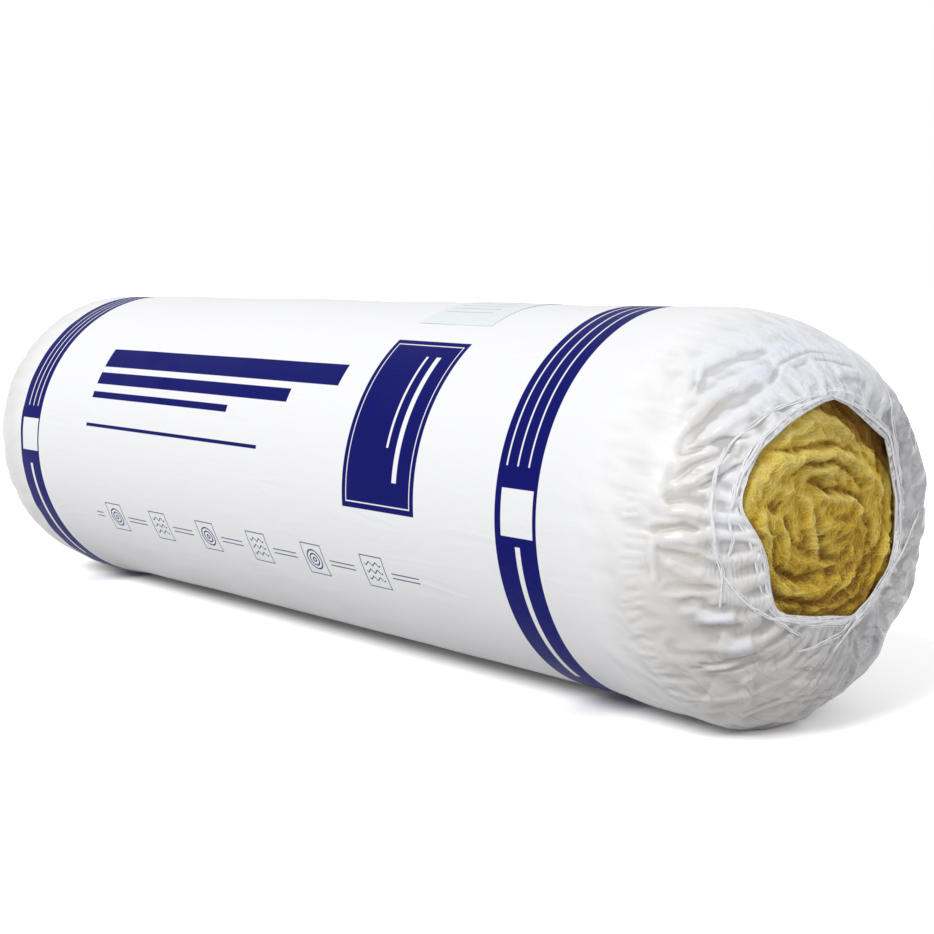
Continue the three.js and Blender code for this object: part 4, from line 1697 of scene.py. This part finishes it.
def front_wool_height(across, up):
    """How far the wool's front end stands along X."""
    relief = wool_relief(across, up, FRONT_END["core"], FRONT_CRESTS + FRONT_HOLLOWS, 11)
    reach = np.hypot(across - FRONT_END["core"][0], up - FRONT_END["core"][1])
    by_hem = smoothstep(hem_gap(FRONT_END, across, up), 10.0, 0.0)
    dish = smoothstep(reach, 30.0, 90.0) + 8.0 * front_corner(across, up) + 1.5 * by_hem
    fade = 1 - smoothstep(np.hypot(across, up), 120.0, 150.0)
    return (relief - 6.0 - dish) * fade


def back_wool_height(across, up):
    """How far the wool's back end stands along X."""
    relief = wool_relief(across, up, BACK_END["core"], BACK_CRESTS + BACK_HOLLOWS, 31)
    away = np.hypot(across, up)
    dish = 7.0 * smoothstep(away, 30.0, 80.0)
    by_hem = smoothstep(hem_gap(BACK_END, across, up), 12.0, 0.0)
    fade = 1 - smoothstep(away, 105.0, 135.0)
    return (relief - 8.0 - dish - 4.0 * by_hem) * fade


core = np.array([[value] for value in FRONT_END["core"]])
print("the front end's core stands", front_wool_height(core[0], core[1]).round(1), "mm out")

# %% [markdown]
# The wool is one closed mesh, turned like the roll: rings of points from the middle of one
# end out to its shoulder, along under the film and in to the middle of the other end. The
# rings lie close together where a mouth shows the wool.

# %% One end of the wool
WOOL_COLUMNS = 360
FRONT_RINGS = 168
BACK_RINGS = 92
FINE_SHARE = 0.8        # of the rings, on the part that shows
WOOL_UNDER_FILM = 1.6
WOOL_BACK = 1.4         # from the film's flat to the wool's
WOOL_SHOULDER = 1.01    # longer than the film's


def wool_face(end, radius, angle):
    """Where the smooth end of the wool lies along X, at a radius."""
    return FILM_END - WOOL_BACK - WOOL_SHOULDER * set_back(end, radius + WOOL_UNDER_FILM, angle)


def wool_end(end, rings, height_at, fine_radius):
    """Points of an end in rings from its middle, their heights over the smooth end, and where painted
    shade darkens its deep upper corner.
    """
    angle = np.linspace(-np.pi, np.pi, WOOL_COLUMNS, endpoint=False)[None, :]
    inner = np.linspace(0, fine_radius, int(rings * FINE_SHARE) + 1)[1:]
    rim = FILM_RADIUS - WOOL_UNDER_FILM
    outer = rim - (rim - fine_radius) * np.linspace(1, 0, rings - len(inner) + 1)[1:] ** 1.5
    radius = np.concatenate([inner, outer])[:, None]
    across = -radius * np.cos(angle)
    up = radius * np.sin(angle)
    height = height_at(across, up)
    along = end["side"] * (wool_face(end, radius, angle) + height)
    scale = roll_radius(along) / FILM_RADIUS
    points = stack(along, across * scale, roll_axis(along) + up * scale)
    return points, height, front_corner(across, up) * (end["side"] > 0)


front_wool, front_relief, front_deep_shade = wool_end(FRONT_END, FRONT_RINGS, front_wool_height, 140.0)
back_wool, back_relief, back_deep_shade = wool_end(BACK_END, BACK_RINGS, back_wool_height, 125.0)
print("front end's relief from", front_relief.min().round(1), "to", front_relief.max().round(1), "mm")

# %% The wool as one turned piece
spine = np.linspace(-440.0, 415.0, 12)[:, None]
turn = np.linspace(-np.pi, np.pi, WOOL_COLUMNS, endpoint=False)[None, :]
radius = roll_radius(spine) + body_wave(spine, turn) - WOOL_UNDER_FILM
barrel = stack(spine + 0 * turn, -radius * np.cos(turn), roll_axis(spine) + radius * np.sin(turn))
wool_rings = np.concatenate([back_wool, barrel, front_wool[::-1]])
count = wool_rings.shape[0] * wool_rings.shape[1]
faces = closed_faces(len(wool_rings), WOOL_COLUMNS).tolist()
column = np.arange(WOOL_COLUMNS)
after = np.roll(column, -1)
tail = count - WOOL_COLUMNS
faces += [[count, int(a), int(b)] for a, b in zip(column, after)]
faces += [[count + 1, int(tail + b), int(tail + a)] for a, b in zip(column, after)]
poles = np.array([back_wool[0].mean(0), front_wool[0].mean(0)])
wool = write_mesh("wool", np.concatenate([wool_rings.reshape(-1, 3), poles]), faces)
print("wool triangles:", sum(len(f) - 2 for f in faces))

# %% [markdown]
# Loose wool gets a painted highlight on its crests, where light would go through the fibres, and
# painted brown shade in its hollows. The mesh writes down how far each point stands out of its
# surroundings, and where the wool lies deep under the mouth's upper corner, which gets painted shade.

# %% Values of the wool
CREST_FULL = 4.0        # mm out of its surroundings that count as a full crest


def crest_of(relief):
    """How far each point stands out of its surroundings, from -1 to 1."""
    return np.clip((relief - softened(relief, 60)) / CREST_FULL, -1, 1)


def on_wool(back_values, front_values):
    """Values of both ends, on all points of the wool."""
    grid = np.concatenate([back_values, np.zeros(barrel.shape[:2]), front_values[::-1]])
    return np.concatenate([grid.ravel(), [0.0, 0.0]])


front_crest = crest_of(front_relief)
back_crest = crest_of(back_relief)
write_value(wool, "crest", on_wool(back_crest, front_crest))
write_value(wool, "deep", on_wool(back_deep_shade, front_deep_shade))
print("full crests and hollows:", int((np.abs(front_crest) == 1).sum()), "points")

# %% [markdown]
# Bump alone looks like stone. What makes it wool is fibres that catch the light, so thin
# curved ribbons lie along the turns, most of them close to the surface and a few loose.
# Blender's hair would do it, but hair doesn't export as a mesh, and ribbons do.

# %% Helpers: where fibres lie
FIBRE_STEPS = 5
LOOSE_SHARE = 0.22      # of the fibres, across the turns
STRAY_SHARE = 0.10      # of the fibres, standing off
MOUTH_MARGIN = 7.0


def fibre_roots(random, end, count):
    """Random places in a mouth, across and up from the axis."""
    across = random.uniform(-140, 110, count * 3)
    up = random.uniform(-110, 125, count * 3)
    keep = np.hypot(across, up) < mouth_radius(end, np.arctan2(up, -across)) + MOUTH_MARGIN
    return across[keep][:count], up[keep][:count]


def fibre_paths(random, across, up, core):
    """Curved paths that start at the roots and follow the turns round the core."""
    total = len(across)
    heading = np.arctan2(across - core[0], -(up - core[1]))
    loose = random.random(total) < LOOSE_SHARE
    heading += np.where(loose, random.uniform(-1.6, 1.6, total), random.normal(0, 0.33, total))
    length = random.uniform(5.0, 17.0, total)
    curve = random.normal(0, 0.05, total)
    path = np.zeros((total, FIBRE_STEPS, 2))
    path[:, 0] = np.stack([across, up], 1)
    for k in range(1, FIBRE_STEPS):
        heading = heading + curve * length / FIBRE_STEPS + random.normal(0, 0.12, total)
        step = (length / (FIBRE_STEPS - 1))[:, None] * np.stack([np.cos(heading), np.sin(heading)], 1)
        path[:, k] = path[:, k - 1] + step
    return path


def crest_lookup(end, points, values):
    """Reads a value of the wool's grid at places across and up."""
    radius = np.hypot(points[:, 0, 1], points[:, 0, 2] - end["axis"])

    def read(across, up):
        ring = np.interp(np.hypot(across, up), radius, np.arange(len(radius)))
        turn = (np.arctan2(up, -across) + np.pi) / (2 * np.pi) * WOOL_COLUMNS
        return values[ring.round().astype(int), turn.astype(int) % WOOL_COLUMNS]

    return read


print("each fibre has", 2 * (FIBRE_STEPS - 1), "triangles")

# %% Fibres as one mesh of ribbons


def stray_lift(random, total, share):
    """How far each step of each fibre stands off the wool."""
    far = random.random(total) < STRAY_SHARE
    stray = np.where(far, random.uniform(1.0, 3.5, total), random.uniform(0.0, 0.9, total))
    return stray[:, None] * np.sin(np.pi * share)


def fibres(name, end, height_at, crest_at, count, seed):
    """Thin curved ribbons that lie along the turns, as fibres of the mat do."""
    random = np.random.default_rng(seed)
    across, up = fibre_roots(random, end, count)
    path = fibre_paths(random, across, up, end["core"])
    total = len(across)
    x, y = path[..., 0], path[..., 1]
    share = np.linspace(0, 1, FIBRE_STEPS)[None, :]
    lift = 0.12 + stray_lift(random, total, share) * smoothstep(hem_gap(end, x, y), 0.0, 9.0)
    along = wool_face(end, np.hypot(x, y), np.arctan2(y, -x)) + height_at(x, y) + lift
    flow = np.gradient(path, axis=1)
    flow /= np.linalg.norm(flow, axis=2, keepdims=True) + 1e-9
    tilt = random.uniform(-1.2, 1.2, total)[:, None]
    width = random.uniform(0.10, 0.24, total)[:, None] * (0.25 + 0.75 * np.sin(np.pi * share))
    flat = np.cos(tilt)
    side = np.stack([np.sin(tilt) + 0 * share, -flow[..., 1] * flat, flow[..., 0] * flat], -1)
    scale = end["radius"] / FILM_RADIUS
    middle = np.stack([along, scale * x, scale * y], -1)
    edges = np.stack([middle - width[..., None] * side, middle + width[..., None] * side], 2)
    edges[..., 0] *= end["side"]
    edges[..., 2] += end["axis"]
    first = np.arange(total)[:, None] * FIBRE_STEPS * 2 + np.arange(FIBRE_STEPS - 1)[None, :] * 2
    faces = np.stack([first, first + 1, first + 3, first + 2], -1).reshape(-1, 4)
    piece = write_mesh(name, edges.reshape(-1, 3), faces)
    # Painted light on the fibres: paler higher up and on crests, darker under the front mouth's upper
    # corner, over a random tone.
    height_light_and_corner_shade = np.clip((up + 72.0) / 150.0, 0.0, 1.0) - 0.5
    if end["side"] > 0:
        height_light_and_corner_shade = height_light_and_corner_shade - 2.0 * front_corner(across, up)
    tone_and_light = 0.45 * random.random(total) + 0.22 + 0.75 * crest_at(path[:, 2, 0], path[:, 2, 1]) + 1.0 * height_light_and_corner_shade
    write_value(piece, "tone_and_light", np.repeat(tone_and_light, FIBRE_STEPS * 2))
    print(name, total, "fibres,", 2 * len(faces), "triangles")
    return piece


# %% Fibres of both ends
FRONT_FIBRES = 23500
BACK_FIBRES = 15000

front_at = crest_lookup(FRONT_END, front_wool, front_crest)
back_at = crest_lookup(BACK_END, back_wool, back_crest)
front_fibres = fibres("wool_fibres_front", FRONT_END, front_wool_height, front_at, FRONT_FIBRES, 3)
back_fibres = fibres("wool_fibres_back", BACK_END, back_wool_height, back_at, BACK_FIBRES, 4)
print("fibres in all:", FRONT_FIBRES + BACK_FIBRES)

# %% [markdown]
# The wool's colour runs from brown over gold to a pale yellow, with dusty patches. The brown is
# painted shade in the hollows, the pale yellow a painted highlight on the crests, and painted
# shade darkens the lower turns and the deep upper corner. The fibres over it run through a like
# row of colours, by a value of their own that holds a random tone and the same painted light and
# shade. Sheen gives the soft edge that loose fibres have.

# %% Wool material
# The crest colour is a painted highlight, the hollow colour painted shade, and the deep colour painted
# shade under the mouth's upper corner.
WOOL_CREST_HIGHLIGHT = (0.93, 0.76, 0.14, 1.0)
WOOL_MIDDLE = (0.80, 0.55, 0.032, 1.0)
WOOL_HOLLOW_SHADE = (0.37, 0.175, 0.006, 1.0)
WOOL_DUSTY = (0.70, 0.59, 0.27, 1.0)
WOOL_DEEP_SHADE = (0.46, 0.16, 0.002, 1.0)
# Painted shade fades out between these heights.
LOW_TURNS = 0.11        # heights above the floor, in metres
HIGH_TURNS = 0.26

wool_material, n, shader = new_material("glass_wool")
place = n.add("ShaderNodeTexCoord").outputs["Object"]
above_floor = n.add("ShaderNodeSeparateXYZ")
n.feed(above_floor.inputs[0], place)
cloud = noise_at(n, place, 70.0, 4.0, 0.8, 0.6)
speck = noise_at(n, place, 420.0, 4.0, 1.5, 0.7)
dust = noise_at(n, place, 24.0, 2.0, 0.5)
# Crests painted pale as a highlight and hollows painted brown as shade, mixed with random cloud and
# specks.
mixed_tone_and_light = n.math("MULTIPLY_ADD", n.math("SUBTRACT", cloud, 0.5), 1.4, written_value(n, "crest"))
mixed_tone_and_light = n.math("MULTIPLY_ADD", n.math("SUBTRACT", speck, 0.5), 0.9, mixed_tone_and_light)
# Painted shade: the lower turns are darker.
mixed_tone_and_light = n.math("ADD", mixed_tone_and_light, n.ramp(above_floor.outputs[2], LOW_TURNS, HIGH_TURNS, -1.3, 0.5))
colour = n.blend(n.ramp(mixed_tone_and_light, -0.8, 0.0), WOOL_HOLLOW_SHADE, WOOL_MIDDLE)
colour = n.blend(n.ramp(mixed_tone_and_light, 0.0, 0.9), colour, WOOL_CREST_HIGHLIGHT)
colour = n.blend(n.ramp(dust, 0.46, 0.66, 0.0, 0.35), colour, WOOL_DUSTY)
# Painted shade under the mouth's upper corner.
colour = n.blend(n.math("MULTIPLY", written_value(n, "deep"), 0.85), colour, WOOL_DEEP_SHADE)
n.feed(shader.inputs["Base Color"], colour)
n.feed(shader.inputs["Roughness"], n.ramp(cloud, 0.0, 1.0, 0.78, 0.95))
shader.inputs["Sheen Weight"].default_value = 0.25
bumped(n, shader, n.math("MULTIPLY_ADD", cloud, 0.6, speck), 0.0016, 0.9)
give(wool_material, wool)

# %% Fibre material
FIBRE_DARK = (0.45, 0.23, 0.009, 1.0)
FIBRE_GOLD = (0.82, 0.59, 0.048, 1.0)
FIBRE_PALE = (0.91, 0.76, 0.23, 1.0)

fibre_material, n, shader = new_material("glass_fibre")
tone_and_light = written_value(n, "tone_and_light")
cloud = noise_at(n, n.add("ShaderNodeTexCoord").outputs["Object"], 60.0, 3.0, 0.5)
# The fibres' value holds a random tone and painted light and shade.
mixed_tone_and_light = n.math("MULTIPLY_ADD", n.math("SUBTRACT", cloud, 0.5), 1.1, tone_and_light)
colour = n.blend(n.ramp(mixed_tone_and_light, -0.1, 0.45), FIBRE_DARK, FIBRE_GOLD)
n.feed(shader.inputs["Base Color"], n.blend(n.ramp(mixed_tone_and_light, 0.5, 1.05), colour, FIBRE_PALE))
n.feed(shader.inputs["Roughness"], n.ramp(tone_and_light, 0.0, 1.0, 0.45, 0.7))
give(fibre_material, front_fibres, back_fibres)

# %% [markdown]
# A small paper label is stuck over the crown. It is a thin sheet that follows the film's long
# waves, so it is made from the same formula as the film, a little higher, with an underside
# and a rim to give it a real edge.

# %% Label
LABEL_MIDDLE = 208.0
LABEL_WIDTH = 105.0
LABEL_HEIGHT = 148.0
LABEL_LOW = math.radians(63.0)
LABEL_TOP_RISE = 0.55
LABEL_UNDER_RISE = 0.30

turn = np.linspace(LABEL_LOW, LABEL_LOW + LABEL_HEIGHT / BODY_RADIUS, 40)[:, None]
width = np.linspace(-0.5, 0.5, 12)[None, :] * LABEL_WIDTH


def label_layer(rise):
    """A grid of points at one height over the film."""
    radius = BODY_RADIUS + body_wave(LABEL_MIDDLE + width, turn) + rise
    return stack(LABEL_MIDDLE + width, -radius * np.cos(turn), BODY_AXIS + radius * np.sin(turn))


top = label_layer(LABEL_TOP_RISE)
under = label_layer(LABEL_UNDER_RISE)
grid = np.arange(top.shape[0] * top.shape[1]).reshape(top.shape[:2])
quads = np.stack([grid[:-1, :-1], grid[:-1, 1:], grid[1:, 1:], grid[1:, :-1]], -1).reshape(-1, 4)
rim = np.concatenate([grid[0, :-1], grid[:-1, -1], grid[-1, :0:-1], grid[:0:-1, 0]])
size = grid.size
faces = [list(q) for q in quads] + [list(q[::-1] + size) for q in quads]
faces += [[int(b), int(a), int(a + size), int(b + size)] for a, b in zip(rim, np.roll(rim, -1))]
points = np.concatenate([top.reshape(-1, 3), under.reshape(-1, 3)])
label = write_mesh("paper_label", points, faces, smooth=False)
print("label:", LABEL_WIDTH, "by", LABEL_HEIGHT, "mm,", len(faces), "faces")

# %% Label material
# Coated paper with plain ruled lines, which stand for print.
PAPER_DARK = (0.74, 0.785, 0.78, 1.0)
PAPER_PALE = (0.80, 0.845, 0.84, 1.0)
RULE_GREY = (0.25, 0.29, 0.30, 1.0)
RULE_STEP = 5.5
RULE_WIDTH = 0.7
RULED = (200.0, -10.0, 34.0, 52.0)

label_material, n, shader = new_material("label_paper")
place = n.add("ShaderNodeTexCoord").outputs["Object"]
x_mm, y_mm = in_mm(n, place)
rule = n.math("LESS_THAN", n.math("PINGPONG", y_mm, RULE_STEP), RULE_WIDTH)
rules = n.math("MULTIPLY", rule, bar(n, x_mm, y_mm, RULED))
grain = noise_at(n, place, 900.0, 4.0)
paper = n.blend(grain, PAPER_DARK, PAPER_PALE)
n.feed(shader.inputs["Base Color"], n.blend(n.math("MULTIPLY", rules, 0.6), paper, RULE_GREY))
n.feed(shader.inputs["Roughness"], n.ramp(grain, 0.3, 0.7, 0.55, 0.7))
bumped(n, shader, grain, 0.0002)
give(label_material, label)

# %% [markdown]
# The floor is pale and the light is soft. The floor shows white to the camera alone, and it
# keeps the roll's shadow. For every other ray it is a plain grey, so that it doesn't light the
# roll more than a real floor would.

# %% Floor
FLOOR_HALF = 40
FLOOR_SEEN = (1.65, 1.65, 1.65, 1.0)
FLOOR_UNSEEN = (0.6, 0.6, 0.6, 1.0)


def camera_sees(nodes):
    """1 for a ray that the camera sends, also by way of a gloss or through something clear."""
    paths = nodes.add("ShaderNodeLightPath")
    either = nodes.math("MAXIMUM", paths.outputs["Is Camera Ray"], paths.outputs["Is Glossy Ray"])
    return nodes.math("MAXIMUM", either, paths.outputs["Is Transmission Ray"])


corners = [(-FLOOR_HALF, -FLOOR_HALF, 0), (FLOOR_HALF, -FLOOR_HALF, 0),
           (FLOOR_HALF, FLOOR_HALF, 0), (-FLOOR_HALF, FLOOR_HALF, 0)]
floor_mesh = bpy.data.meshes.new("floor")
floor_mesh.from_pydata(corners, [], [(0, 1, 2, 3)])
floor = bpy.data.objects.new("floor", floor_mesh)
bpy.context.scene.collection.objects.link(floor)

floor_material = bpy.data.materials.new("pale_floor")
floor_material.use_nodes = True
floor_material.node_tree.nodes.clear()
n = Nodes(floor_material.node_tree)
seen = n.add("ShaderNodeBsdfDiffuse")
seen.inputs[0].default_value = FLOOR_SEEN
unseen = n.add("ShaderNodeBsdfDiffuse")
unseen.inputs[0].default_value = FLOOR_UNSEEN
choose = n.add("ShaderNodeMixShader")
n.feed(choose.inputs[0], camera_sees(n))
n.feed(choose.inputs[1], unseen.outputs[0])
n.feed(choose.inputs[2], seen.outputs[0])
n.feed(n.add("ShaderNodeOutputMaterial").inputs[0], choose.outputs[0])
give(floor_material, floor)

# %% [markdown]
# An even sky fills every shade, one broad lamp from the left and above gives the pleats their
# relief, and a weak one lights the front end. The lamps are low enough that the white film
# keeps its tones.

# %% Light
SKY = 0.54
SKY_SEEN = 1.0
# name, strength, spread of its shadow's edge, lean from straight down, turn round Z (degrees)
LAMPS = (("key", 1.70, 24.0, 52.0, 8.0), ("fill", 0.42, 30.0, 58.0, 80.0))

world = bpy.data.worlds.new("studio")
bpy.context.scene.world = world
world.use_nodes = True
n = Nodes(world.node_tree)
background = world.node_tree.nodes["Background"]
background.inputs["Color"].default_value = (1.0, 1.0, 1.0, 1.0)
n.feed(background.inputs["Strength"], n.ramp(camera_sees(n), 0.0, 1.0, SKY, SKY_SEEN))
for name, energy, spread, lean, turned in LAMPS:
    sun = bpy.data.lights.new(name, "SUN")
    sun.energy = energy
    sun.angle = math.radians(spread)
    lamp = bpy.data.objects.new(name, sun)
    lamp.rotation_euler = (math.radians(lean), 0.0, math.radians(turned))
    bpy.context.scene.collection.objects.link(lamp)
bpy.context.scene.view_settings.view_transform = "Standard"
print("lamps:", [lamp[0] for lamp in LAMPS])

# %% [markdown]
# Nothing on the roll moves, so every piece rides on its one body. The film was cut as a flat
# web, 1.16 m wide to go round with a lap and 1.36 m long to reach from mouth to mouth.

# %% Everything rides on the one body
for piece, slot in ((film, "printed_film"), (threads, "printed_film"), (wool, "glass_wool"),
                    (front_fibres, "glass_wool"), (back_fibres, "glass_wool"), (label, "label_paper")):
    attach(piece, "root")
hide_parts("film_sleeve")
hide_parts("wool_roll")
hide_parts("label")
print("pieces:", [piece.name for piece in (film, threads, wool, front_fibres, back_fibres, label)])
